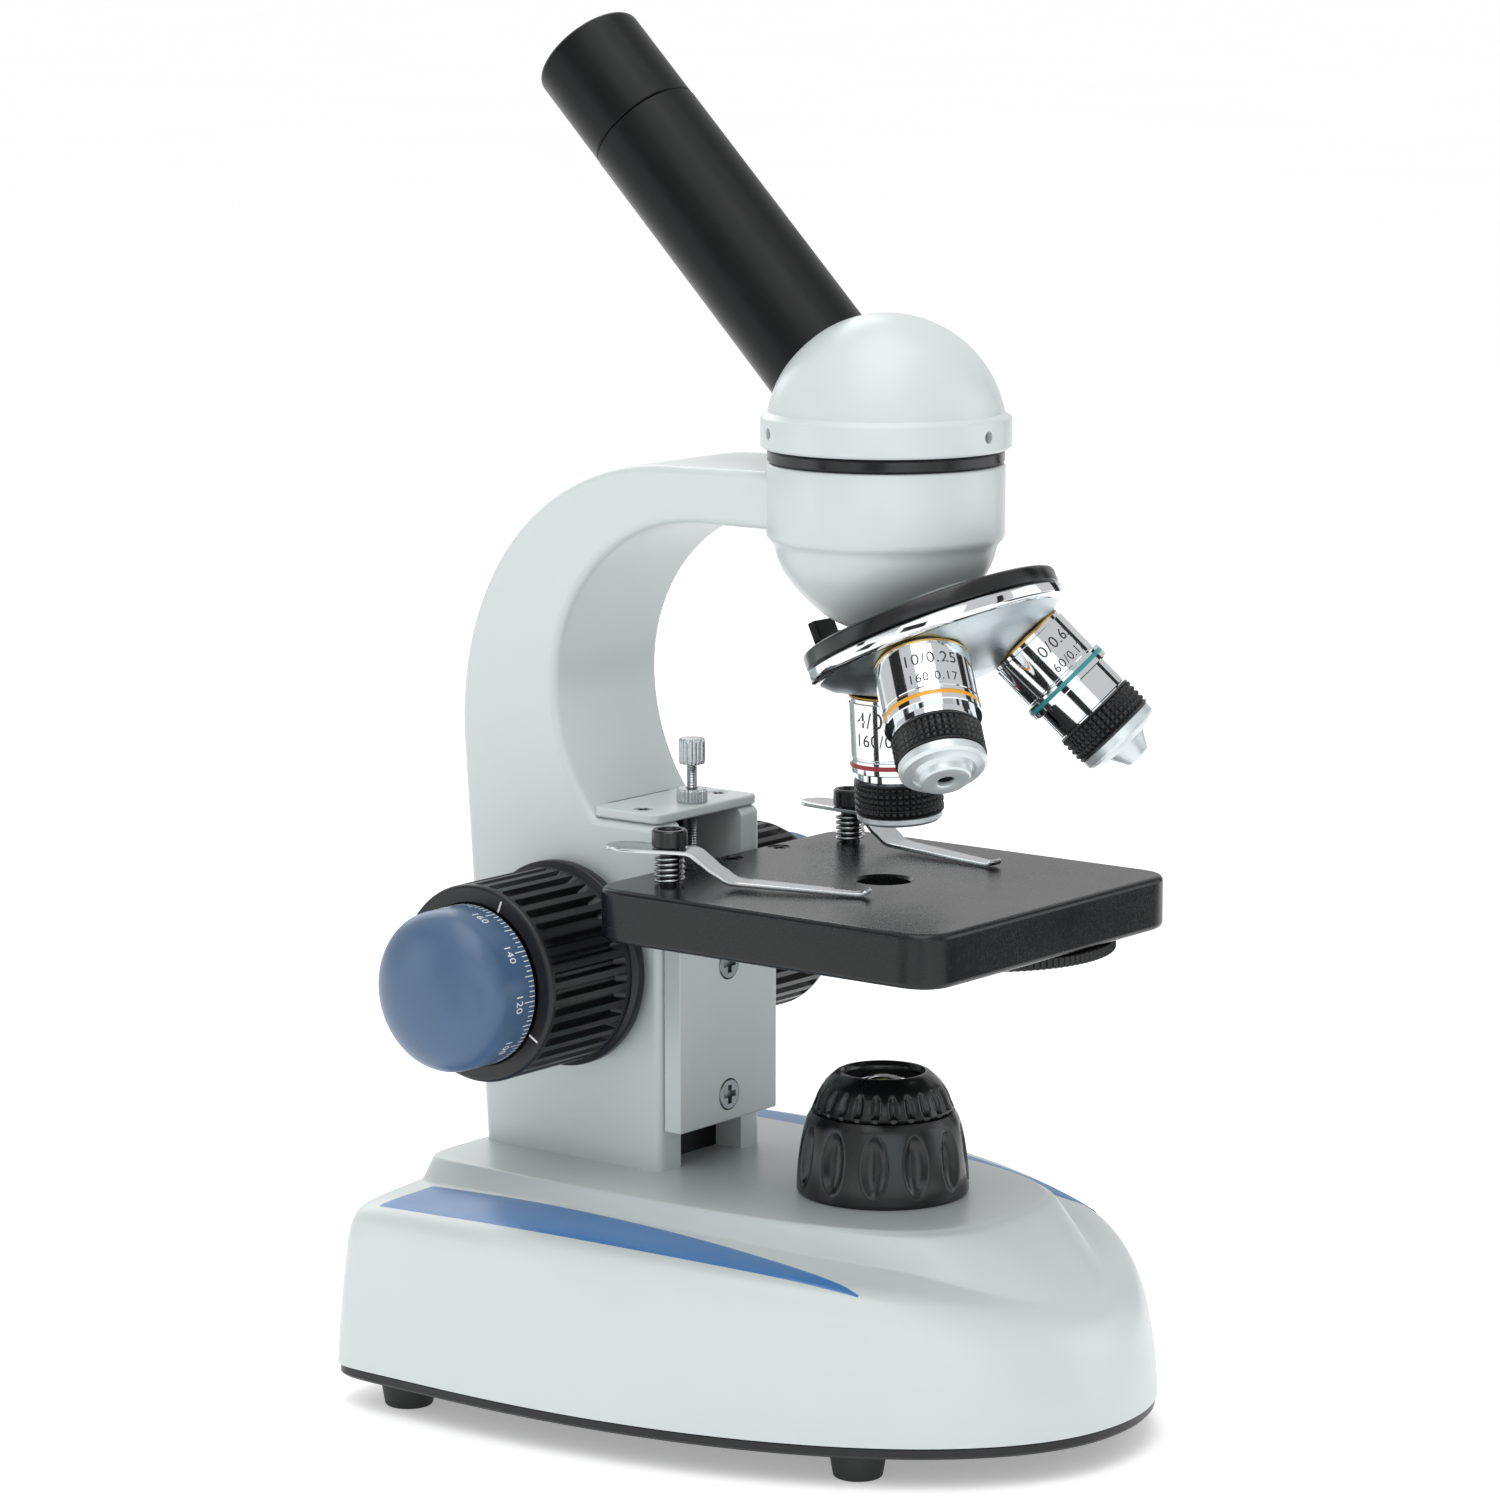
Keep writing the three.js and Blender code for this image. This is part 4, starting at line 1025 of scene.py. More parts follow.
    def build_power_entry(self, bench: Bench) -> None:
        """Models the rocker switch and the inlet on the back.

        Args:
            bench: Where finished pieces go.
        """
        rocker = pressed("rocker_cap",
            rounded([(-3, -3.4), (0.8, -4.4), (0.2, 0), (2, 4.2), (-3, 3.4)], 0.5, 3), 0, 13,
                         0.5)
        bench.finish(rocker, at(self.switch_x - 6.5, self.rear - 1.3, self.panel_z, rx=90, rz=90),
            BLACK_ABS,
                     "switch", Slot.BLACK_PLASTIC, ["switch_rocker"], even=True)
        socket = turned("inlet_socket", [
            (2.6, 0), (5.2, 0), (5.2, 11), (6.2, 11), *arc(0.6, (6, 11.8), 0, 90, 4), (3.2, 12.4),
            (2.6, 11.8), (2.6, 0),
        ], SMALL_TURN)
        floor = turned("inlet_floor", rod(2.7, 0, 2), SMALL_TURN)
        whole = joined("inlet_socket", [socket, floor])
        place = at(self.inlet_x, self.rear - 11.4, self.panel_z, rx=-90)
        bench.finish(whole, place, BLACK_ABS, "frame", Slot.BLACK_PLASTIC, ["power_inlet"])
        pin = turned("inlet_pin", [(0, 1.9), (0.9, 1.9), (0.9, 10.6), (0.5, 11), (0, 11)],
            SMALL_TURN)
        bench.finish(pin, place, PLATED_STEEL, "frame", Slot.STEEL)


# ---- Lamp ----


@dataclass
class Lamp:
    """Fluted hood with a screw cap, a lens and the diode under it."""

    floor: float = 49.7
    seam: float = 67.6
    hood_flutes: int = 12
    cap_flutes: int = 24

    @staticmethod
    def flute(
        count: int, low: float, high: float, depth: float, width: float
    ) -> Callable[[Vector], float]:
        """Depth of oval scoops round a surface.

        Args:
            count: Number of scoops.
            low: Their lower end.
            high: Their upper end.
            depth: Their depth.
            width: Share of the pitch that a scoop takes.

        Returns:
            A function of a point.
        """
        middle, half = (low + high) / 2, (high - low) / 2

        def depth_at(point: Vector) -> float:
            """Depth at a point.

            Args:
                point: The point, in millimetres.

            Returns:
                The depth.
            """
            along = (point.z - middle) / half
            if abs(along) >= 1:
                return 0
            turn = math.atan2(point.y, point.x) / (2 * math.pi) * count
            across = (turn - round(turn)) * 2 / (width * (1 - along**2) ** 0.5)
            return depth * max(1 - across**2, 0) * (1 - along**4)
        return depth_at

    def build(self, bench: Bench) -> None:
        """Models and dresses the lamp.

        Args:
            bench: Where finished pieces go.
        """
        place = at(0, OPTICAL_Y, 0)
        side = [(18.6, self.floor + 0.6), (18.45, 54.9), (17.8, 60.3), (16.7, 65.1), (15.9, 66.9)]
        hood = turned("lamp_hood", [
            (11, self.floor), (18.2, self.floor), *self.fine_steps(side, 9),
            (15.5, self.seam - 0.1),
            (11, self.seam - 0.1), (11, self.floor),
        ], RIB_TURN)
        push_surface(hood, self.flute(self.hood_flutes, 52.2, 65.4, 1.5, 0.62))
        bench.finish(hood, place, GLOSS_ABS, "frame", Slot.BLACK_PLASTIC, ["lamp_housing"],
            angle=40)
        wall = [(15.2, self.seam + 0.9), (14.7, 69.6), (13.9, 71.6), (12.6, 73.6), (11.2, 75.0)]
        cap = turned("lamp_screw_cap", [
            (8.3, self.seam + 0.1), (14.9, self.seam + 0.1), *self.fine_steps(wall, 6),
            (10.4, 75.7), (9.6, 76.1),
            (9.1, 76.1), (8.5, 75.4), (8.3, 74.8), (8.3, self.seam + 0.1),
        ], RIB_TURN)
        push_surface(cap, self.flute(self.cap_flutes, 68.1, 73.4, 0.9, 0.6))
        bench.finish(cap, place, GLOSS_ABS, "frame", Slot.BLACK_PLASTIC, ["lamp_cap"], angle=40)
        lens = turned("lamp_window",
            [(0, 70.6), (7.9, 70.6), (7.9, 72.8), *arc(12, (0, 63.1), 49, 90, 9)[1:-1], (0, 75.1)])
        bench.finish(lens, place, CROWN_GLASS, "frame", Slot.GLASS, ["lamp_lens"])
        well = turned("lamp_well",
            [(0, 69), (8.1, 69), (8.1, 74.5), (8.0, 74.5), (7.95, 69.4), (0, 69.4)], SMALL_TURN)
        bench.finish(well, place, BLACK_ABS, "frame", Slot.BLACK_PLASTIC)
        board = turned("lamp_board_disc", rod(10.5, self.floor, self.floor + 1.6), SMALL_TURN)
        bench.finish(board, place, BLACK_ABS, "frame", Slot.BLACK_PLASTIC, ["lamp_board"])
        diode = turned("lamp_diode",
            [(0, 69.4), (2.4, 69.4), *arc(2.2, (0, 69.8), 0, 90, 6)[:-1], (0, 72.0)], SMALL_TURN)
        bench.finish(diode, place, PHOSPHOR, "frame", Slot.GLASS)

    @staticmethod
    def fine_steps(points: Profile, steps: int) -> list[Point]:
        """Splits each stretch of a profile along a smooth curve.

        Args:
            points: The profile.
            steps: Parts of each stretch.

        Returns:
            The finer profile.
        """
        fine = []
        for i in range(len(points) - 1):
            around = [Vector(points[min(max(k, 0), len(points) - 1)]) for k in range(i - 1, i + 3)]
            for step in range(steps):
                t = step / steps
                a, b, c, d = around
                point = 0.5 * (2 * b + (c - a) * t + (
                    2 * a - 5 * b + 4 * c - d) * t**2 + (3 * b - a - 3 * c + d) * t**3)
                fine.append((point.x, point.y))
        return fine + [tuple(points[-1])]


# ---- Arm ----


@dataclass
class Arm:
    """Cast arm with the slide's channel, its head bowl and the stop on its ledge."""

    half_width: float = 18
    front: float = 30.2
    bottom: float = 47
    ledge: float = 126.6
    rim: float = 2
    channel_half_width: float = 10.7
    channel_back: float = 51.5
    channel_floor: float = 54
    stop_screws: tuple[float, ...] = (-13.2, 13.2)
    stop_screw_y: float = 38.5
    thumb_screw_y: float = 35.4

    def outline(self) -> list[Point]:
        """Side view of the arm: first number along Y, second along Z.

        Returns:
            The outline.
        """
        return [
            (self.front, self.bottom), (80.5, self.bottom), (83.6, 95.9), (86.8, 142),
            *bezier((86.8, 142), (87.8, 181), (60, 204.8), (30, 204.8), 28), (-12, 205.6),
            (-12, 193), (20, 193),
            *bezier((20, 193), (42, 193), (59.4, 176), (59.4, 155), 22),
            *bezier((59.4, 155), (59.4, 146), (56.5, 136), (50, 128), 10), (48.5, self.ledge),
            (self.front, self.ledge),
        ]

    def build(self, bench: Bench) -> None:
        """Models and dresses the arm.

        Args:
            bench: Where finished pieces go.
        """
        across = at(-self.half_width, rx=90, rz=90)
        limb = pressed("arm_casting", self.outline(), 0, 2 * self.half_width, self.rim, 5)
        put(limb, across)
        half = self.channel_half_width
        channel = pressed("slot", box_outline(-half, self.front - 2, half, self.channel_back),
            self.channel_floor,
                          self.ledge + 2)
        foot = pressed("slot", box_outline(-half, self.front - 2, half, 38), self.bottom - 2,
            self.channel_floor + 1)
        carve(limb, channel, foot)
        bench.finish(limb, Matrix(), ENAMEL, "frame", Slot.ENAMEL, ["arm"], angle=30, even=True)
        # A thin black sheet closes the back of the slot under the slide: painted shade of the gap,
        # not a part of the arm.
        recess = pressed("painted_shade_slot_back", box_outline(-half + 0.1, 37.2, half - 0.1, 38.4),
            self.bottom + 2, 58)
        bench.finish(recess, Matrix(), BLACK_ANODISED, "frame", Slot.BLACK_PAINT)
        for side, sign in (("left", -1), ("right", 1)):
            rail = pressed(f"slide_rail_{side}", box_outline(-2.1, 46.2, 2.1, self.channel_back),
                56, self.ledge - 0.6, 0.3)
            bench.finish(rail, at(sign * 8.4), BLACK_ANODISED, "frame", Slot.BLACK_PAINT, even=True)
        bench.finish(self.bowl(), at(0, OPTICAL_Y, 0), ENAMEL, "frame", Slot.ENAMEL, angle=40)
        self.build_stop(bench)

    def bowl(self) -> Piece:
        """The head's cylinder and the bowl under it.

        Returns:
            The bowl, about its own Z axis.
        """
        side = [(24.6, 191.0), (23.6, 189.6), (22.9, 187), (21.5, 184), (19.3, 181), (16.9, 178.4),
                (13.2, 175.2), (9.5, 173), (5, 171.6)]
        bowl = turned("head_bowl", [
            (0, 207.2), (24.7, 207.2), (25.0, 207.0), (25.2, 206.6), (25.2, 192.4), (25.0, 191.5),
            *Lamp.fine_steps(side, 4), (0, 171.2),
        ])
        apex = at(0, 0, 200, rx=155)
        carve(bowl, drill(rod(75, 25.7, 60), apex))
        neck = put(turned("neck", rod(12.5, 14, 25.9)), apex)
        return joined("head_bowl", [bowl, neck])

    def build_stop(self, bench: Bench) -> None:
        """Models the stop plate with its screws.

        Args:
            bench: Where finished pieces go.
        """
        bottom = self.ledge + 0.1
        top = bottom + 2.2
        plate = pressed("stop_bar", rounded(box_outline(-17.8, 30.6, 17.8, 49.2), 2.5), bottom, top,
            0.45)
        seat = [(0, -1.1), (1.4, -1.1), (2.6, 0.1), (2.6, 1), (0, 1)]
        seats = [drill(seat, at(x, self.stop_screw_y, top)) for x in self.stop_screws]
        carve(plate, *seats)
        bench.finish(plate, Matrix(), ENAMEL, "frame", Slot.ENAMEL, ["stop_plate"], even=True)
        for side, x in zip(("left", "right"), self.stop_screws):
            bench.finish(cross_screw(f"stop_bar_screw_{side}", 2.3, 1.0),
                at(x, self.stop_screw_y, top - 0.15), PLATED_STEEL, "frame",
                         Slot.STEEL, [f"stop_plate_screw_{side}"])
        nut = turned("stop_lock_nut", [
            (1.3, top), (3.2, top), *[(3.4, top + 0.3 + 0.25 * i) for i in range(11)],
            (3.2, top + 3.1),
            (1.3, top + 3.1), (1.3, top),
        ], 180)
        push_surface(nut, knurl(30, 0.22, 3))
        bench.finish(nut, at(0, self.thumb_screw_y, 0), PLATED_STEEL, "frame", Slot.STEEL,
            ["stop_nut"], angle=50)
        thread = [(1.2 - 0.18 * (i % 2), 118.5 + 0.3 * i) for i in range(62)]
        screw = turned("stop_thumb_screw", [
            (0, 118), (1.0, 118), *thread, (1.2, 137.2), (1.7, 137.5), (2.7, 137.5),
            *[(2.9, 137.8 + 0.5 * i) for i in range(11)], (2.6, 143.1), (0, 143.2),
        ], 120)
        push_surface(screw, lambda p: knurl(20, 0.26, 2)(p) if p.z > 137.6 and p.z < 143 else 0)
        bench.finish(screw, at(0, self.thumb_screw_y, 0), PLATED_STEEL, "stop", Slot.STEEL,
            ["stop_screw"], angle=50)


def knurl(teeth: int, depth: float, least: float) -> Callable[[Vector], float]:
    """Depth of straight ribs round a knob.

    Args:
        teeth: Number of ribs.
        depth: Their depth.
        least: Radius under which nothing is cut.

    Returns:
        A function of a point.
    """
    def depth_at(point: Vector) -> float:
        """Depth at a point.

        Args:
            point: The point, in millimetres.

        Returns:
            The depth.
        """
        if math.hypot(point.x, point.y) < least * 0.9:
            return 0
        return depth * abs(math.sin(math.atan2(point.y, point.x) * teeth / 2))
    return depth_at


def studded(
    teeth: int, pitch: float, depth: float, low: float, high: float
) -> Callable[[Vector], float]:
    """Depth of a square knurl, whose grooves run along and round a grip.

    Args:
        teeth: Number of grooves along the grip.
        pitch: Height of one stud.
        depth: Depth of the grooves.
        low: Where the knurl starts.
        high: Where it ends.

    Returns:
        A function of a point.
    """
    def groove(phase: float) -> float:
        """Share of the full depth at a place between grooves.

        Args:
            phase: The place, whole at each groove.

        Returns:
            The share.
        """
        share = abs(phase - round(phase)) * 2
        return max(0, 1 - share * 1.7)

    def depth_at(point: Vector) -> float:
        """Depth at a point.

        Args:
            point: The point, in millimetres.

        Returns:
            The depth.
        """
        if not low <= point.z <= high:
            return 0
        turn = math.atan2(point.y, point.x) / (2 * math.pi) * teeth
        return depth * max(groove(turn), groove((point.z - low) / pitch))
    return depth_at


def wrapped(piece: Piece, angle: float, along: float, radius: float) -> Piece:
    """Lays a flat mark round a cylinder: its X runs round the axis, its Y along Z.

    Args:
        piece: The mark.
        angle: Place of its middle round the axis, in degrees.
        along: Place of its middle along the axis.
        radius: Radius that it lies on.

    Returns:
        The same piece, bent.
    """
    for vertex in piece.data.vertices:
        turn = math.radians(angle) + vertex.co.x / (radius * MM)
        reach = radius * MM + vertex.co.z
        vertex.co = Vector((reach * math.cos(turn), reach * math.sin(turn),
            along * MM + vertex.co.y))
    return piece


def cross_screw(name: str, radius: float, depth: float) -> Piece:
    """Screw head with a cross recess, its face at z = 0.

    Args:
        name: Name of the piece.
        radius: Radius of the head.
        depth: Depth of the head.

    Returns:
        The screw.
    """
    head = turned(name, [(0, -depth), (radius * 0.6, -depth), (radius, -0.25 * depth),
        (radius * 0.94, 0), (0, 0)], SMALL_TURN)
    width = radius * 0.2
    reach = radius * 0.62
    for _ in range(2):
        carve(head, pressed("bit", box_outline(-width, -reach, width, reach), -0.7 * depth, 1))
        put(head, at(rz=90))
    return head


# ---- Focus drive ----


@dataclass
class Focus:
    """Coaxial knobs: ribbed coarse knobs and domed fine knobs with a printed scale."""

    y: float = 55
    z: float = 94
    grip: float = 21.6
    flange: float = 22.8
    inner: float = 20
    outer: float = 50.4
    ribs: int = 36
    fine_radius: float = 17.5
    fine_inner: float = 50.7
    fine_shoulder: float = 60
    fine_crown: float = 68.5
    divisions: int = 100
    index_marks: tuple[float, ...] = (-22, -121)
    scale_turn: float = 50

    def coarse(self) -> Piece:
        """One coarse knob about Z, its inner face at the low end.

        Returns:
            The knob.
        """
        low, high = self.inner + 5.2, self.outer - 1.7
        rows = [(self.grip, low + (high - low) * i / 12) for i in range(13)]
        knob = turned("coarse_knob", [
            (4.3, self.inner), (self.flange - 1.4, self.inner),
            *arc(0.9, (self.flange - 0.9, self.inner + 0.9), 270, 360, 4),
            *arc(0.6, (self.flange - 0.6, self.inner + 2.4), 0, 90, 3),
            (self.grip, self.inner + 3.4), *rows,
            (self.grip, high + 0.3), (self.grip, self.outer - 1.2),
            *arc(1.1, (self.grip - 1.1, self.outer - 1.1), 0, 90, 6), (17.9, self.outer),
            (17.6, self.outer - 0.3),
            (17.6, 45), (4.3, 45), (4.3, self.inner),
        ], self.ribs * 10)

        def slots(point: Vector) -> float:
            """Depth at a point.

            Args:
                point: The point, in millimetres.

            Returns:
                The depth.
            """
            radius = math.hypot(point.x, point.y)
            if not (low - 0.1 < point.z < high + 0.1) or radius < self.grip - 0.01:
                return 0
            turn = math.atan2(point.y, point.x) / (2 * math.pi) * self.ribs
            across = abs(turn - round(turn)) * 2
            ends = min((point.z - low) / 1.2, (high - point.z) / 0.5 + 0.3, 1)
            return 1.9 * min(max((0.56 - across) / 0.2, 0), 1) * max(ends, 0)
        push_surface(knob, slots)
        return knob

    def fine(self) -> Piece:
        """One fine knob about Z, its scale at the low end.

        Returns:
            The knob.
        """
        high = self.fine_crown - self.fine_shoulder
        crown = []
        for i in range(0, 25):
            angle = math.pi / 2 * i / 25
            crown.append((self.fine_radius * math.cos(angle) ** 0.82,
                self.fine_shoulder + high * math.sin(angle) ** 1.05))
        return turned("fine_knob", [
            (0, self.fine_inner), (self.fine_radius - 0.4, self.fine_inner),
            (self.fine_radius, self.fine_inner + 0.4),
            (self.fine_radius, 54), (self.fine_radius, 57), *crown, (0, self.fine_crown),
        ], RING_TURN)

    def scale(self) -> Piece:
        """The printed divisions and numbers round one fine knob.

        Returns:
            The print, as one piece.
        """
        marks = []
        radius = self.fine_radius + 0.02
        for i in range(self.divisions):
            length = 3.1 if i % 10 == 0 else 2.4 if i % 5 == 0 else 1.6
            tick = pressed("tick", box_outline(-0.11, -length / 2, 0.11, length / 2), 0, 0.03)
            marks.append(wrapped(tick, 360 * i / self.divisions,
                self.fine_inner + 0.55 + length / 2, radius))
        for i in range(0, self.divisions, 10):
            number = letters(str(2 * i), 2.0)
            put(number, at(rz=180))
            marks.append(wrapped(number, 360 * i / self.divisions, self.fine_inner + 5.4, radius))
        return joined("fine_scale", marks)

    def build(self, bench: Bench) -> None:
        """Models and dresses the drive.

        Args:
            bench: Where finished pieces go.
        """
        coarse, fine, scale = self.coarse(), self.fine(), self.scale()
        marks = []
        for angle in self.index_marks:
            mark = pressed("mark", box_outline(-0.22, -1.3, 0.22, 1.3), 0, 0.04)
            marks.append(put(mark, at(19.1, 0, self.outer, rz=90)))
            put(marks[-1], at(rz=angle))
        index = joined("coarse_index", marks)
        for side, turn in (("left", -90), ("right", 90)):
            place = at(0, self.y, self.z, ry=turn)
            scaled_place = place @ at(rz=self.scale_turn)
            bench.finish(copied(coarse, f"coarse_grip_{side}"), place, BLACK_ABS, "coarse",
                Slot.BLACK_PLASTIC,
                         [f"coarse_knob_{side}"], angle=38)
            bench.finish(copied(index, f"coarse_index_{side}"), place, WHITE_INK, "coarse",
                Slot.BLACK_PLASTIC)
            bench.finish(copied(fine, f"fine_dome_{side}"), scaled_place, BLUE_ABS, "fine",
                Slot.KNOB_BLUE,
                         [f"fine_knob_{side}"], angle=40)
            bench.finish(copied(scale, f"fine_scale_{side}"), scaled_place, WHITE_INK, "fine",
                Slot.KNOB_BLUE)
        for part in (coarse, fine, scale, index):
            bpy.data.objects.remove(part)
        bench.dress("focus_shaft", PLATED_STEEL)
        bench.dress("fine_shaft", PLATED_STEEL)


def letters(text: str, height: float) -> Piece:
    """Numbers as a thin flat mesh, centred on the origin.

    Args:
        text: The digits.
        height: Height of a digit.

    Returns:
        The mesh.
    """
    fresh_start()
    bpy.ops.object.text_add()
    made = bpy.context.object
    made.data.body = text
    made.data.size = height * 1.38 * MM
    made.data.extrude = 0.015 * MM
    made.data.space_character = 1.08
    made.data.resolution_u = 3
    made.data.align_x = "CENTER"
    made.data.align_y = "CENTER"
    bpy.ops.object.convert(target="MESH")
    made = bpy.context.object
    apply_modifier(made, "TRIANGULATE")
    return made


# ---- Stage ----


@dataclass
class Stage:
    """Slide, stage plate, condenser, diaphragm and the two spring clips."""

    half_size: float = 45
    top: float = 117.7
    bottom: float = 106.2
    skin: float = 4
    skirt: float = 3
    corner: float = 8
    hole: float = 5.9
    screws: tuple[tuple[str, float], ...] = (("left", -17), ("mid", 0), ("right", 17))
    screw_y: float = 24.4
    slide_screws: tuple[tuple[str, float], ...] = (("upper", 94.1), ("lower", 64.7))
    disc_x: float = 12.9
    disc_y: float = -33.6
    disc_radius: float = 28.6
    aperture_reach: float = 21.02
    apertures: tuple[float, ...] = (4, 3, 2, 1.2, 0.6)
    clip_x: float = 32
    clip_y: float = 16
    clips: tuple[tuple[str, float, float], ...] = (("left", -1, 17.5), ("right", 1, -8.5))

    def build(self, bench: Bench) -> None:
        """Models and dresses the stage.

        Args:
            bench: Where finished pieces go.
        """
        self.build_plate(bench)
        self.build_slide(bench)
        self.build_diaphragm(bench)
        self.build_clips(bench)

    def build_plate(self, bench: Bench) -> None:
        """Models the stage plate and its condenser.

        Args:
            bench: Where finished pieces go.
        """
        half, mid = self.half_size, OPTICAL_Y
        outline = rounded(box_outline(-half, mid - half, half, mid + half), self.corner * 1.1, 10)
        plate = pressed("stage_top", outline, self.bottom, self.top, 1.3, 4)
        inner = half - self.skirt
        pocket = pressed("pocket",
            rounded(box_outline(-inner, mid - inner, inner, mid + inner), 6, 6), self.bottom - 1,
                         self.top - self.skin)
        notch = pressed("notch", box_outline(-17.4, 24.8, 17.4, mid + half + 1), self.bottom - 1,
            113.5)
        light = drill([(0, 100), (self.hole, 100), (self.hole, 117.1), (self.hole + 1.2, 118.3),
            (0, 118.3)],
                      at(0, mid), FINE_TURN)
        sink = [(0, 100), (1.5, 100), (1.5, 116), (2.7, 117.8), (2.7, 119), (0, 119)]
        sinks = [drill(sink, at(x, self.screw_y)) for _, x in self.screws]
        holes = [drill(rod(2.3, 100, 119), at(side * self.clip_x, self.clip_y)) for side in (-1, 1)]
        carve(plate, pocket, notch, light, *sinks, *holes)
        bench.finish(plate, Matrix(), BLACK_ENAMEL, "stage", Slot.BLACK_PAINT, ["stage_plate"],
            even=True)
        for side, x in self.screws:
            bench.finish(cross_screw(f"stage_top_screw_{side}", 2.4, 1.6),
                at(x, self.screw_y, self.top - 0.25), BLACK_ANODISED,
                         "stage", Slot.STEEL, [f"stage_screw_{side}"])
        under = self.top - self.skin
        cell = turned("condenser_cell", [
            (4, 106.8), (8, 106.8), (9, 108), (9, under), (5.2, under), (5.2, 108.6), (4, 108.6),
            (4, 106.8),
        ], SMALL_TURN)
        bench.finish(cell, at(0, mid), BLACK_ANODISED, "stage", Slot.BLACK_PAINT,
            ["condenser_mount"])
        lens = turned("condenser_glass",
            [(0, 108.9), (5, 108.9), (5, 110.6), *arc(6.3, (0, 106.7), 38, 88, 8), (0, 113)],
            SMALL_TURN)
        bench.finish(lens, at(0, mid), DARK_GLASS, "stage", Slot.GLASS, ["condenser_lens"])

    def build_slide(self, bench: Bench) -> None:
        """Models the slide that carries the stage.

        Args:
            bench: Where finished pieces go.
        """
        side = rounded([(25.1, 58.7), (29.7, 58.7), (29.7, 113.4), (12, 113.4), (12, 109.8),
            (25.1, 109.8)], 0.5, 3)
        plate = put(pressed("slide_angle", side, 0, 34.2, 0.6), at(-17.1, rx=90, rz=90))
        seat = [(0, -6), (1.7, -6), (1.7, -2), (3.6, -2), (3.6, 2), (0, 2)]
        carve(plate, *[drill(seat, at(0, 25.1, z, rx=90)) for _, z in self.slide_screws])
        bench.finish(plate, Matrix(), ENAMEL, "stage", Slot.ENAMEL, ["slide_plate"], even=True)
        for name, z in self.slide_screws:
            bench.finish(cross_screw(f"slide_fixing_{name}", 3.4, 1.5), at(0, 24.9, z, rx=90), ZINC,
                "stage",
                         Slot.STEEL, [f"slide_screw_{name}"])
        bench.dress("slide_block", BLACK_ANODISED)

    def build_diaphragm(self, bench: Bench) -> None:
        """Models the five-hole disc and its pivot.

        Args:
            bench: Where finished pieces go.
        """
        radius = self.disc_radius
        disc = turned("aperture_disc", [
            (2.4, 103.3), (radius - 0.6, 103.3), (radius, 103.6), (radius, 104.2), (radius, 105),
            (radius, 105.6),
            (radius - 0.6, 105.9), (2.4, 105.9), (2.4, 103.3),
        ], 480)
        push_surface(disc, lambda p: knurl(120, 0.45, radius)(p))
        to_axis = math.degrees(math.atan2(OPTICAL_Y - self.disc_y, -self.disc_x))
        step = 360 / len(self.apertures)
        for i, size in enumerate(self.apertures):
            carve(disc, drill(rod(size, 102, 107),
                at(rz=to_axis + step * i) @ at(self.aperture_reach)))
        bench.finish(disc, at(self.disc_x, self.disc_y), BLACK_ABS, "diaphragm", Slot.BLACK_PLASTIC,
            ["diaphragm_disc"])
        pin = turned("disc_pivot", [
            (0, 101.6), (3.4, 101.6), (3.8, 102), (3.8, 103), (2.1, 103), (2.1, 106.4), (4, 106.6),
            (4, 113.6), (0, 113.6),
        ], SMALL_TURN)
        bench.finish(pin, at(self.disc_x, self.disc_y), PLATED_STEEL, "stage", Slot.STEEL,
            ["diaphragm_pivot"])

    def blade(self, name: str) -> Piece:
        """One spring-steel blade, its pivot hole about Z at the origin.

        Args:
            name: Name of the piece.

        Returns:
            The blade.
        """
        raised = 7.1
        tail = [(14.2, 0.2), (14.0, 1.3), (13.4, 2.4), (12.5, 3.3), (11.2, 3.9), (9.5, 4.15),
                (7.5, 4.2), (5.5, 4.15)]
        line = [(y, raised, half) for y, half in tail] + [
            (0, raised, 3.95), (-3.5, raised, 3.7), (-5.0, raised - 0.05, 3.6),
            (-6, raised - 0.4, 3.52), (-8, raised - 1.9, 3.45),
            (-10, raised - 3.5, 3.4), (-12, 2.5, 3.32), (-13.2, 1.65, 3.28), (-14.5, 1.15, 3.22),
            (-17, 0.98, 3.1),
            (-24, 0.8, 2.85), (-32, 0.58, 2.5), (-38, 0.4, 2.15), (-42, 0.28, 1.9),
            (-43.4, 0.32, 1.8), (-44.3, 0.65, 1.75), (-45, 1.4, 1.6),
        ]
        rings = []
        for i, (y, z, half) in enumerate(line):
            before, after = line[max(i - 1, 0)], line[min(i + 1, len(line) - 1)]
            slope = Vector((after[0] - before[0], after[1] - before[1])).normalized()
            lift = Vector((-slope.y, slope.x)) * -0.8
            corners = [(-half, 0), (-half * 0.5, 0), (half * 0.5, 0), (half, 0), (half, 1),
                       (half * 0.5, 1), (-half * 0.5, 1), (-half, 1)]
            rings.append([Vector((x, y + lift.x * k, z + lift.y * k)) for x, k in corners])
        blade = lofted(name, rings)
        carve(blade, drill(rod(2.4, 4, 12), Matrix()))
        apply_modifier(blade, "BEVEL", width=0.14 * MM, segments=2, limit_method="ANGLE",
            angle_limit=math.radians(SHARP_BEND))
        return blade

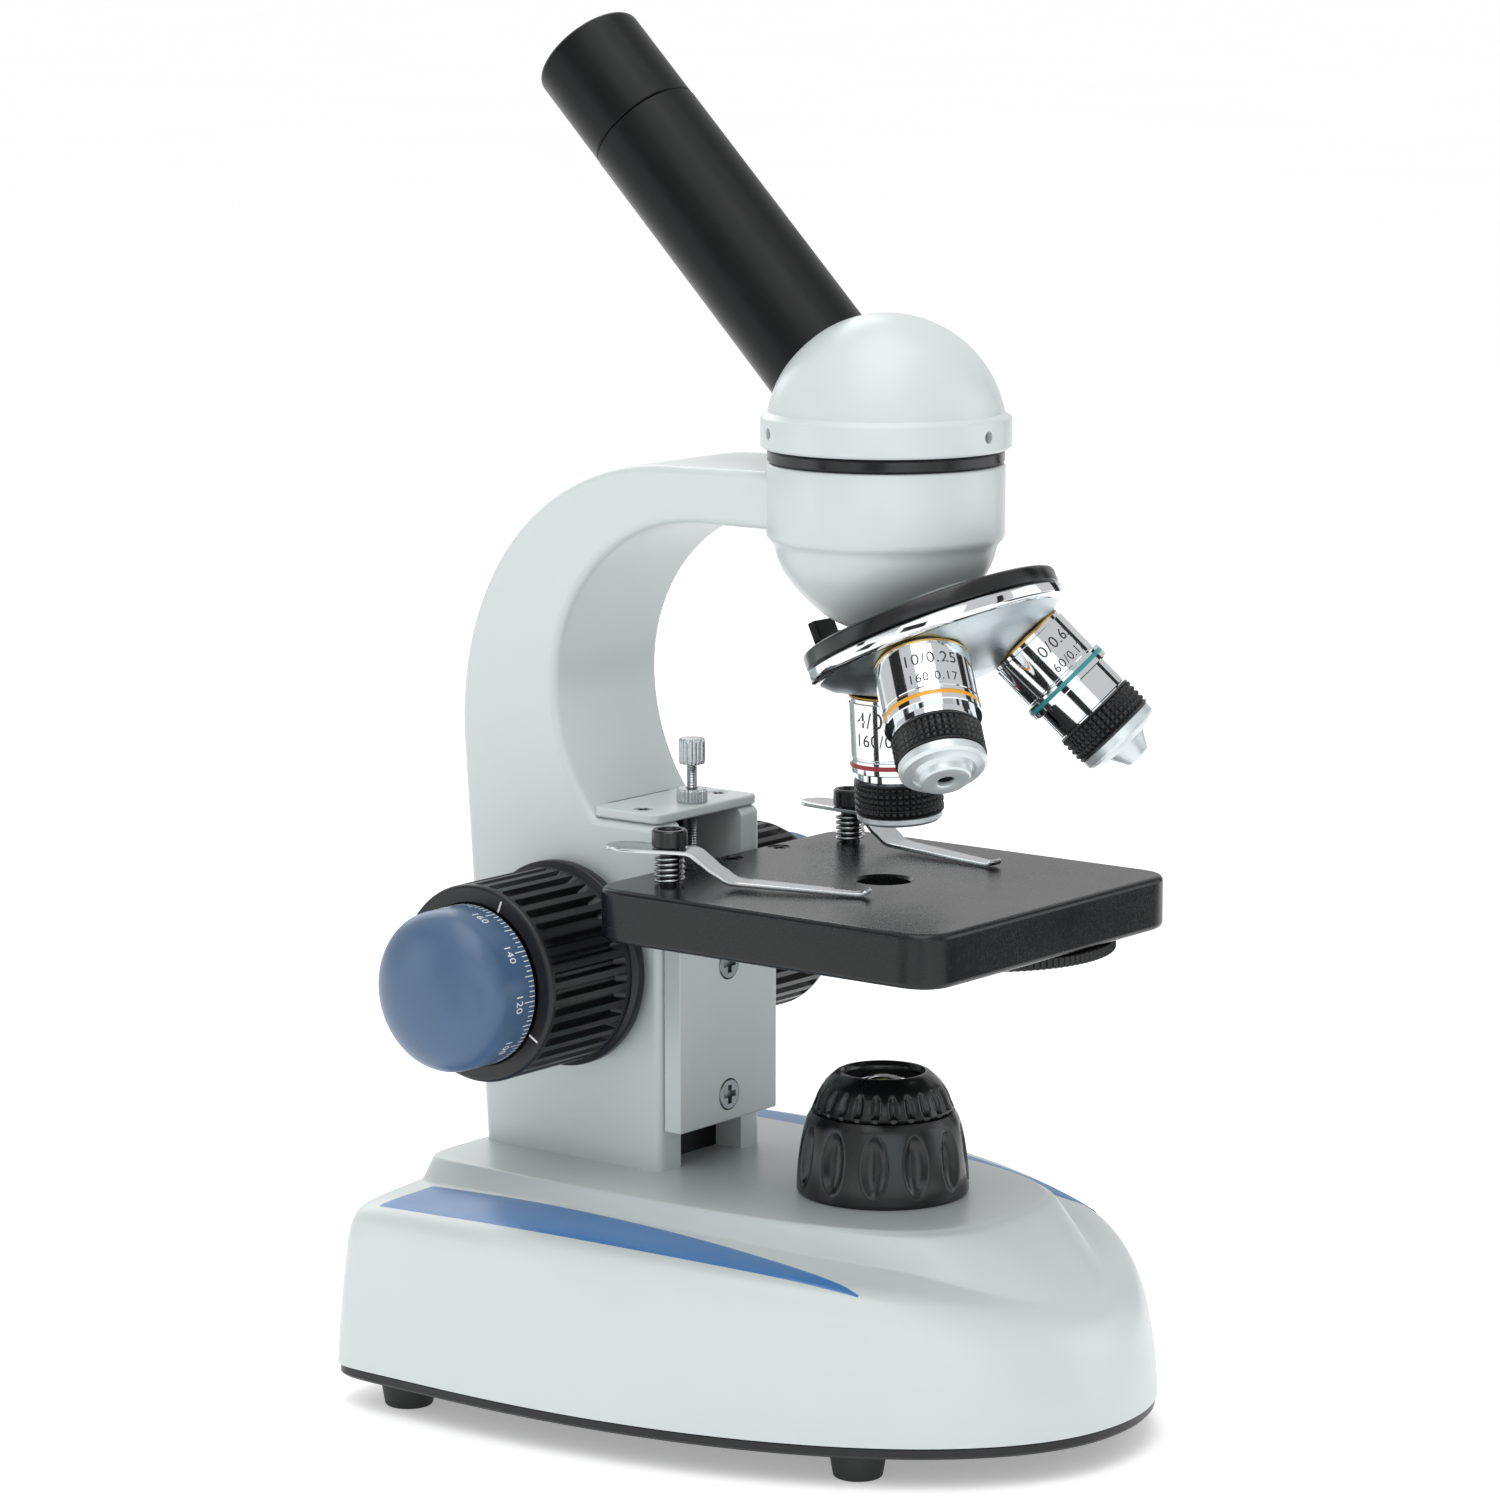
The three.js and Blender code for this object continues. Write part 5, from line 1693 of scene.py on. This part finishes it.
    def spring(self, name: str) -> Piece:
        """Coil spring about Z, its foot at z = 0.4.

        Args:
            name: Name of the piece.

        Returns:
            The spring.
        """
        fresh_start()
        bpy.ops.mesh.primitive_circle_add(vertices=10, radius=0.36 * MM,
            location=(2.95 * MM, 0, 0.45 * MM),
                                          rotation=(math.pi / 2, 0, 0))
        bpy.ops.object.transform_apply(location=True, rotation=True, scale=False)
        wire = bpy.context.object
        wire.name = name
        apply_modifier(wire, "SCREW", axis="Z", angle=math.radians(360), screw_offset=1.16 * MM,
            iterations=5, steps=36,
                       render_steps=36, use_smooth_shade=True)
        only(wire)
        bpy.ops.object.mode_set(mode="EDIT")
        bpy.ops.mesh.select_all(action="SELECT")
        bpy.ops.mesh.fill_holes(sides=12)
        close_up(wire)
        return wire

    def build_clips(self, bench: Bench) -> None:
        """Models the clips, their posts and springs.

        Args:
            bench: Where finished pieces go.
        """
        sheet_top = 7.9
        for side, sign, angle in self.clips:
            place = at(sign * self.clip_x, self.clip_y, self.top)
            post = turned(f"clip_pin_{side}", [
                (0, -6), (3.6, -6), (3.6, -4.4), (2.1, -4.4), (2.1, sheet_top + 0.2),
                (3.5, sheet_top + 0.2),
                (3.8, sheet_top + 0.5), (3.8, sheet_top + 3.6), (3.45, sheet_top + 4),
                (2.7, sheet_top + 4),
                (2.6, sheet_top + 3.8), (2.6, sheet_top + 1.6), (0, sheet_top + 1.6),
            ])
            bench.finish(post, place, GLOSS_ABS, "stage", Slot.BLACK_PLASTIC, [f"clip_post_{side}"])
            bench.finish(self.spring(f"clip_coil_{side}"), place, PLATED_STEEL, "stage", Slot.STEEL,
                [f"clip_spring_{side}"],
                         angle=60)
            bench.finish(self.blade(f"clip_blade_{side}"), place @ at(rz=angle), SPRING_STEEL,
                f"clip_{side}", Slot.STEEL,
                         [f"stage_clip_{side}"], angle=35)


# ---- Head ----


@dataclass
class Head:
    """Turning head: ring, dome with its flange, inclined tube and eyepiece."""

    ring: Place = (25.05, 207.4, 210.1)
    flange_radius: float = 26.5
    bottom: float = 210.4
    flange_top: float = 217.5
    radius: float = 25.5
    centre: float = 213.1
    tube_z: float = 210.7
    tube_radius: float = 12.6
    tube_start: float = 15
    tube_end: float = 91.4
    rim_top: float = 115
    set_screws: tuple[float, ...] = (32, 148, 270)
    screw_z: float = 214

    def build(self, bench: Bench) -> None:
        """Models and dresses the head.

        Args:
            bench: Where finished pieces go.
        """
        place = at(0, OPTICAL_Y)
        radius, low, high = self.ring
        ring = turned("swivel_ring", [
            (13, low), (radius - 0.5, low), (radius, low + 0.4), (radius, high - 0.4),
            (radius - 0.5, high), (13, high), (13, low),
        ])
        bench.finish(ring, place, GLOSS_ABS, "frame", Slot.BLACK_PAINT, ["head_ring"])
        start = math.degrees(math.asin((self.flange_top + 0.5 - self.centre) / self.radius))
        dome = turned("head_cap", [
            (0, self.bottom), (self.flange_radius - 0.6, self.bottom),
            (self.flange_radius, self.bottom + 0.5),
            (self.flange_radius, self.flange_top - 0.9),
            (self.flange_radius - 0.25, self.flange_top - 0.35),
            (self.flange_radius - 0.8, self.flange_top),
            *arc(self.radius, (0, self.centre), start, 89, 30),
            (0, self.centre + self.radius),
        ], RING_TURN)
        carve(dome, *[drill(rod(1.3, 22, 30),
            at(0, 0, self.screw_z, ry=90, rz=angle)) for angle in self.set_screws])
        bench.finish(dome, place, ENAMEL, "head", Slot.ENAMEL, ["head_dome", "prism"], angle=34)
        for i, angle in enumerate(self.set_screws):
            grub = turned(f"set_screw_{i + 1}",
                [(0, 22.2), (1.2, 22.2), (1.2, 23.6), (0.6, 23.8), (0.5, 23.1), (0, 23.1)],
                SMALL_TURN)
            bench.finish(grub, place @ at(0, 0, self.screw_z, ry=90, rz=angle), BLACK_ANODISED,
                "head", Slot.BLACK_PAINT)
        incline = place @ at(0, 0, self.tube_z, rx=-45)
        tube = turned("inclined_tube", [
            (11.95, self.tube_start), (self.tube_radius, self.tube_start),
            (self.tube_radius, self.tube_end - 0.2),
            (self.tube_radius - 0.2, self.tube_end), (11.95, self.tube_end),
            (11.95, self.tube_start),
        ])
        bench.finish(tube, incline, BLACK_ANODISED, "head", Slot.BLACK_PAINT, ["draw_tube"])
        seat, top = self.tube_end + 0.25, self.rim_top
        body = turned("eyepiece_body", [
            (10.4, 66), (11.6, 66), (11.6, seat), (12.2, seat), (12.5, seat + 0.3), (12.5, top - 3),
            *arc(1.6, (10.9, top - 1.6), 0, 85, 7),
            (9.4, top), (9.0, top - 0.25), (6.9, top - 2.9), (6.3, top - 3.2), (6.3, top - 9),
            (10.4, top - 12), (10.4, 66),
        ])
        bench.finish(body, incline, BLACK_ANODISED, "ocular", Slot.BLACK_PLASTIC, ["eyepiece"])
        lens = turned("eyepiece_glass", [
            (0, top - 8), (6.2, top - 7), (6.2, top - 4.8), *arc(13.6, (0, top - 16.95), 63, 89, 8),
            (0, top - 3.4),
        ], 64)
        bench.finish(lens, incline, DARK_GLASS, "ocular", Slot.GLASS, ["eye_lens"])


# ---- Nosepiece ----


class Band(Enum):
    """Colour band of an objective."""

    RED = RED_FILL
    YELLOW = YELLOW_FILL
    TEAL = TEAL_FILL


@dataclass
class Objective:
    """One objective about Z, its shoulder at z = 0 and its tip at the high end."""

    name: str
    turn: float
    radius: float
    barrel: float
    neck: float
    grip: float
    tip: float
    tip_radius: float
    band: Band
    marks: tuple[str, str]
    mark_turn: float
    mark_size: float
    lens: float
    taper: float = 0.2

    def build(self, bench: Bench, place: Matrix) -> None:
        """Models and dresses the objective.

        Args:
            bench: Where finished pieces go.
            place: Its place on the turret.
        """
        node = f"objective_{self.name}"
        nose = min(self.tip - self.grip, 2.6)
        groove = self.barrel - 3.0
        band_low, band_high = groove + 0.75, groove + 1.75
        r = self.radius
        body = [
            (2.5, -1), (6.5, -1), (6.5, 0.3), (r - 0.9, 0.3), (r - 0.35, 0.6), (r - 0.35, 1.3),
            (r, 1.5),
            (r, groove - 0.5), (r - 0.15, groove - 0.3), (r - 0.15, groove), (10.1, groove),
            (10.3, groove + 0.2),
            (10.3, band_low), (10.12, band_low), (10.12, band_high), (10.3, band_high),
            (10.3, self.barrel - 0.2),
            (10.1, self.barrel), (9, self.barrel), (9, self.neck - 0.5), (8.8, self.neck - 0.3),
            (8.4, self.neck - 0.3),
            (8.4, self.grip - 0.2), (2.5, self.grip - 0.2), (2.5, -1),
        ]
        cap = [
            (self.lens, self.grip), (8.9, self.grip), (9.15, self.grip + 0.25),
            (9.15, self.grip + nose - 0.7),
            (8.5, self.grip + nose - 0.1), (7.7, self.grip + nose),
        ]
        reach = self.tip - self.grip - nose
        if reach > 0:
            step = self.grip + nose + 0.3 * reach
            cap += [
                (self.tip_radius + 2.7, step - 0.5), (self.tip_radius + 2.3, step - 0.9),
                (self.tip_radius + 1.9, step - 0.5),
                (self.tip_radius + 1.5, step), (self.tip_radius + 1.5 - self.taper, self.tip - 0.5),
                (self.tip_radius + 1.1 - self.taper, self.tip - 0.2),
            ]
        cap += [(self.lens + 0.5, self.tip - 0.05), (self.lens + 0.1, self.tip - 0.25),
                (self.lens, self.tip - 0.6),
                (self.lens, self.grip)]
        front = turned(f"{node}_cap", cap)
        bench.finish(front, place, SATIN_CHROME, "nosepiece", Slot.CHROME, angle=30)
        shell = turned(f"{node}_shell", body)
        bench.finish(shell, place, CHROME, "nosepiece", Slot.CHROME, [f"{node}_barrel"], angle=30)
        washer = turned(f"{node}_washer",
            [(6.6, 0.02), (r - 0.4, 0.02), (r - 0.25, 0.3), (r - 0.4, 0.62), (6.6, 0.62),
             (6.6, 0.02)], 96)
        bench.finish(washer, place, BRASS, "nosepiece", Slot.CHROME)
        band = turned(f"{node}_band", [
            (10.0, band_low + 0.02), (10.24, band_low + 0.02), (10.26, band_high - 0.02),
            (10.0, band_high - 0.02),
            (10.0, band_low + 0.02),
        ], 96)
        bench.finish(band, place, self.band.value, "nosepiece", Slot.CHROME)
        low, high = self.neck, self.grip
        rows = max(int((high - low - 0.8) / 0.2), 4)
        knurled = turned(f"{node}_knurl", [
            (8.5, low), (9.3, low), *[(9.55,
                low + 0.35 + (high - low - 0.7) * i / rows) for i in range(rows + 1)], (9.3, high),
            (8.5, high), (8.5, low),
        ], 336)
        push_surface(knurled, studded(42, 1.3, 0.5, low + 0.4, high - 0.4))
        bench.finish(knurled, place, BLACK_ABS, "nosepiece", Slot.BLACK_PLASTIC, [f"{node}_grip"],
            angle=24)
        edge = self.lens + 0.02
        glass = turned(f"{node}_glass",
            [(0, self.tip - 1.6), (edge, self.tip - 1.6), (edge, self.tip - 0.75),
             (edge * 0.6, self.tip - 0.6),
                                         (0, self.tip - 0.5)], SMALL_TURN)
        bench.finish(glass, place, DARK_GLASS, "nosepiece", Slot.GLASS)
        lines = []
        for text, size, along in ((self.marks[0], self.mark_size, 4.9),
            (self.marks[1], self.mark_size * 0.78, 9.3)):
            number = letters(text, size)
            put(number, at(rz=180))
            lines.append(wrapped(number, self.mark_turn, along, r + 0.01))
        bench.finish(joined(f"{node}_numbers", lines), place, BLACK_INK, "nosepiece", Slot.CHROME)


@dataclass
class Nosepiece:
    """Tilted plate, turret and three objectives, about an axis down and forward."""

    apex: float = 200
    tilt: float = 25
    rest_turn: float = 10
    shoulder_distance: float = 41.8
    objectives: list[Objective] = field(default_factory=lambda: [
        Objective("4x", 0, 10.2, 16.8, 19, 26.3, 28.2, 5, Band.RED, ("4/0.10", "160/0.17"), 150,
                  3.5, 1.9),
        Objective("40x", 120, 9.3, 14.4, 21, 27.4, 35, 3, Band.TEAL, ("40/0.65", "160/0.17"), -8,
                  2.7, 1.0, 1.7),
        Objective("10x", 240, 10.2, 14.8, 17.3, 23.6, 28.8, 4, Band.YELLOW, ("10/0.25", "160/0.17"),
                  240, 2.7, 1.8),
    ])

    def build(self, bench: Bench) -> None:
        """Models and dresses the nosepiece.

        Args:
            bench: Where finished pieces go.
        """
        nose = at(0, OPTICAL_Y, self.apex, rx=180 - self.tilt)
        lean = math.tan(math.radians(self.tilt))
        plate = turned("nosepiece_disc", [
            (3.3, 26), (26.8, 26), (27.7, 26.4), (28, 27.1), (28, 29.4), (27.6, 29.8), (3.3, 29.8),
            (3.3, 26),
        ], RING_TURN)
        bench.finish(plate, nose, GLOSS_ABS, "frame", Slot.BLACK_PAINT, ["nosepiece_plate"])
        upright = pressed("click_spring", rounded(box_outline(-2, -29.6, 5, -27.4), 0.4, 3), 17.8,
            28.6, 0.3)
        tab = pressed("tab", rounded(box_outline(-2, -29.6, 5, -22.6), 0.4, 3), 21.8, 25.8, 0.3)
        bench.finish(joined("click_spring", [upright, tab]), nose, BLACK_ANODISED, "frame",
            Slot.BLACK_PAINT,
                     ["click_bracket"], even=True)
        depth = self.shoulder_distance * math.cos(math.radians(self.tilt))
        reach = self.shoulder_distance * math.sin(math.radians(self.tilt))

        def dish(radius: float) -> float:
            """Depth of the dish's sloping face.

            Args:
                radius: Distance from the turret's axis.

            Returns:
                The depth below the apex.
            """
            return depth + (reach - radius) * lean
        spin = nose @ at(rz=self.rest_turn)
        rim = turned("turret_rim", [
            (20, 30.15), (28.1, 30.15), (28.5, 30.5), (28.5, 32.2), (28.2, 32.7), (27.3, 33.2),
            (26.6, 33.3), (20, 33.3), (20, 30.15),
        ], RING_TURN)
        bench.finish(rim, spin, CHROME, "nosepiece", Slot.NICKEL)
        cone = turned("turret_dish", [
            (3.6, 30.3), (27, 30.3), (27, 33.1), (26.4, 33.35), (24.5, dish(24.5) + 0.5),
            (10, dish(10) + 0.6), (8, dish(9.2) + 0.4),
            (3.6, dish(8.5)), (3.6, 30.3),
        ], RING_TURN)
        bench.finish(cone, spin, SATIN_NICKEL, "nosepiece", Slot.NICKEL, ["turret"], angle=28)
        screw_top = dish(8) + 0.4
        pivot = turned("turret_pivot", [
            (0, 26.2), (3, 26.2), (3, screw_top), (4.6, screw_top), (4.6, screw_top + 1),
            (4.0, screw_top + 1.8), (0, screw_top + 2),
        ], SMALL_TURN)
        bench.finish(pivot, nose, PLATED_STEEL, "frame", Slot.STEEL, ["turret_screw"])
        for objective in self.objectives:
            holder = spin @ at(rz=objective.turn) @ at(0, -reach, depth, rx=self.tilt)
            objective.build(bench, holder)


# ---- Studio ----

CardPlace = tuple[str, Place, Point]


@dataclass
class Studio:
    """Floor, soft boxes, white cards and dark flags for the plated parts, and the camera."""

    eye: Place = (-0.86044, -0.65466, 0.32183)
    azimuth: float = -52.081
    elevation: float = 9.359
    lens: float = 122.26
    sky: float = 0.7
    paper_glow: float = 0.34
    boxes: tuple[tuple[str, Place, float, float], ...] = (
        ("key_box", (-0.6, -0.3, 1.25), 0.9, 4.2),
        ("top_box", (0.0, 0.0, 1.3), 0.8, 3.6),
        ("rear_box", (0.6, 1.0, 0.8), 0.9, 4.0),
    )
    flags: tuple[CardPlace, ...] = (
        ("flag_left", (-0.75, 0.35, 0.2), (0.12, 0.9)),
        ("flag_right", (0.15, -0.9, 0.15), (0.10, 0.8)),
        ("flag_front", (-0.91, -0.44, 0.12), (0.4, 0.24)),
        ("flag_far", (0.9, -0.1, 0.2), (0.2, 0.6)),
        ("flag_high_left", (-0.56, 0.62, 0.66), (0.34, 0.4)),
        ("flag_high_right", (0.79, -0.33, 0.68), (0.24, 0.4)),
    )
    white_cards: tuple[CardPlace, ...] = (
        ("card_front", (-1.35, -1.05, 0.4), (1.9, 1.3)),
        ("card_side", (-1.3, 1.1, 0.3), (0.9, 1.2)),
        ("card_right", (1.0, -1.2, 0.3), (0.9, 1.2)),
    )
    floor_flags: tuple[CardPlace, ...] = (
        ("flag_floor_left", (-0.48, 0.1, 0.004), (0.3, 0.11)),
        ("flag_floor", (0.5, -0.5, 0.004), (0.7, 0.5)),
    )

    def build(self) -> None:
        """Makes the stage, the lights and the camera."""
        fresh_start()
        bpy.ops.mesh.primitive_plane_add(size=80, location=(0, 0, 0))
        floor = bpy.context.object
        floor.name = "floor"
        paper = Finish("seamless_paper_white", "#fbfbfb", "#f7f7f7", 0.9, bump_um=1, mottle_mm=400,
            glow=self.paper_glow)
        floor.data.materials.append(paper.material(Coords.OBJECT))
        world = bpy.data.worlds.new("white_sweep")
        bpy.context.scene.world = world
        world.use_nodes = True
        background = world.node_tree.nodes["Background"]
        background.inputs["Color"].default_value = (1, 1, 1, 1)
        background.inputs["Strength"].default_value = self.sky
        for name, place, size, power in self.boxes:
            self.soft_box(name, place, size, power)
        black = Finish("black_card", "#050505", "#070707", 0.9)
        white = Finish("white_card", "#e4ecee", "#e8eff1", 0.9, glow=0.95)
        for name, place, size in self.flags:
            self.card(name, place, size, black)
        for name, place, size in self.white_cards:
            self.card(name, place, size, white)
        for name, place, size in self.floor_flags:
            self.card(name, place, size, black, flat=True)
        camera = bpy.data.objects.new("camera", bpy.data.cameras.new("camera"))
        bpy.context.scene.collection.objects.link(camera)
        camera.data.lens = self.lens
        camera.data.sensor_width = 36
        camera.data.clip_start = 0.05
        camera.location = self.eye
        a, e = math.radians(self.azimuth), math.radians(self.elevation)
        back = Vector((math.sin(a) * math.cos(e), -math.cos(a) * math.cos(e), math.sin(e)))
        camera.rotation_mode = "QUATERNION"
        camera.rotation_quaternion = (-back).to_track_quat("-Z", "Y")
        bpy.context.scene.camera = camera
        bpy.context.scene.view_settings.view_transform = "Standard"

    def soft_box(self, name: str, place: Place, size: float, power: float) -> None:
        """Adds a square soft light that looks at the object.

        Args:
            name: Its name.
            place: Its place in metres.
            size: Its side in metres.
            power: Its power in watts.
        """
        lamp = bpy.data.lights.new(name, "AREA")
        lamp.size = size
        lamp.energy = power
        made = bpy.data.objects.new(name, lamp)
        bpy.context.scene.collection.objects.link(made)
        made.location = place
        made.rotation_euler = (Vector((0, 0, 0.15)) - Vector(place)).to_track_quat("-Z",
            "Y").to_euler()

    def card(self, name: str, place: Place, size: Point, look: Finish,
             flat: bool = False) -> None:
        """Adds a card that only reflections see.

        Args:
            name: Its name.
            place: Its middle in metres.
            size: Its width and height in metres.
            look: Its finish.
            flat: Whether it lies on the floor.
        """
        fresh_start()
        bpy.ops.mesh.primitive_plane_add(size=1)
        card = bpy.context.object
        card.name = name
        card.data.transform(Matrix.Diagonal((size[0], size[1], 1, 1)))
        turn = Matrix() if flat else Vector((place[0], place[1], 0)).to_track_quat("Z",
            "Y").to_matrix().to_4x4()
        card.data.transform(Matrix.Translation(place) @ turn)
        card.data.materials.append(look.material(Coords.OBJECT))
        card.visible_camera = False
        card.visible_diffuse = False
        card.visible_shadow = False


def main() -> None:
    """Builds the sub-assemblies in order."""
    logging.basicConfig(level=logging.INFO, format="%(message)s")
    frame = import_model()
    fresh_start()
    bench = Bench(nodes=frame["nodes"])
    for assembly in (Base(), Lamp(), Arm(), Focus(), Stage(), Head(), Nosepiece()):
        assembly.build(bench)
    Studio().build()
    log.info("%d new pieces", bench.made)


if __name__ == "__main__":
    main()
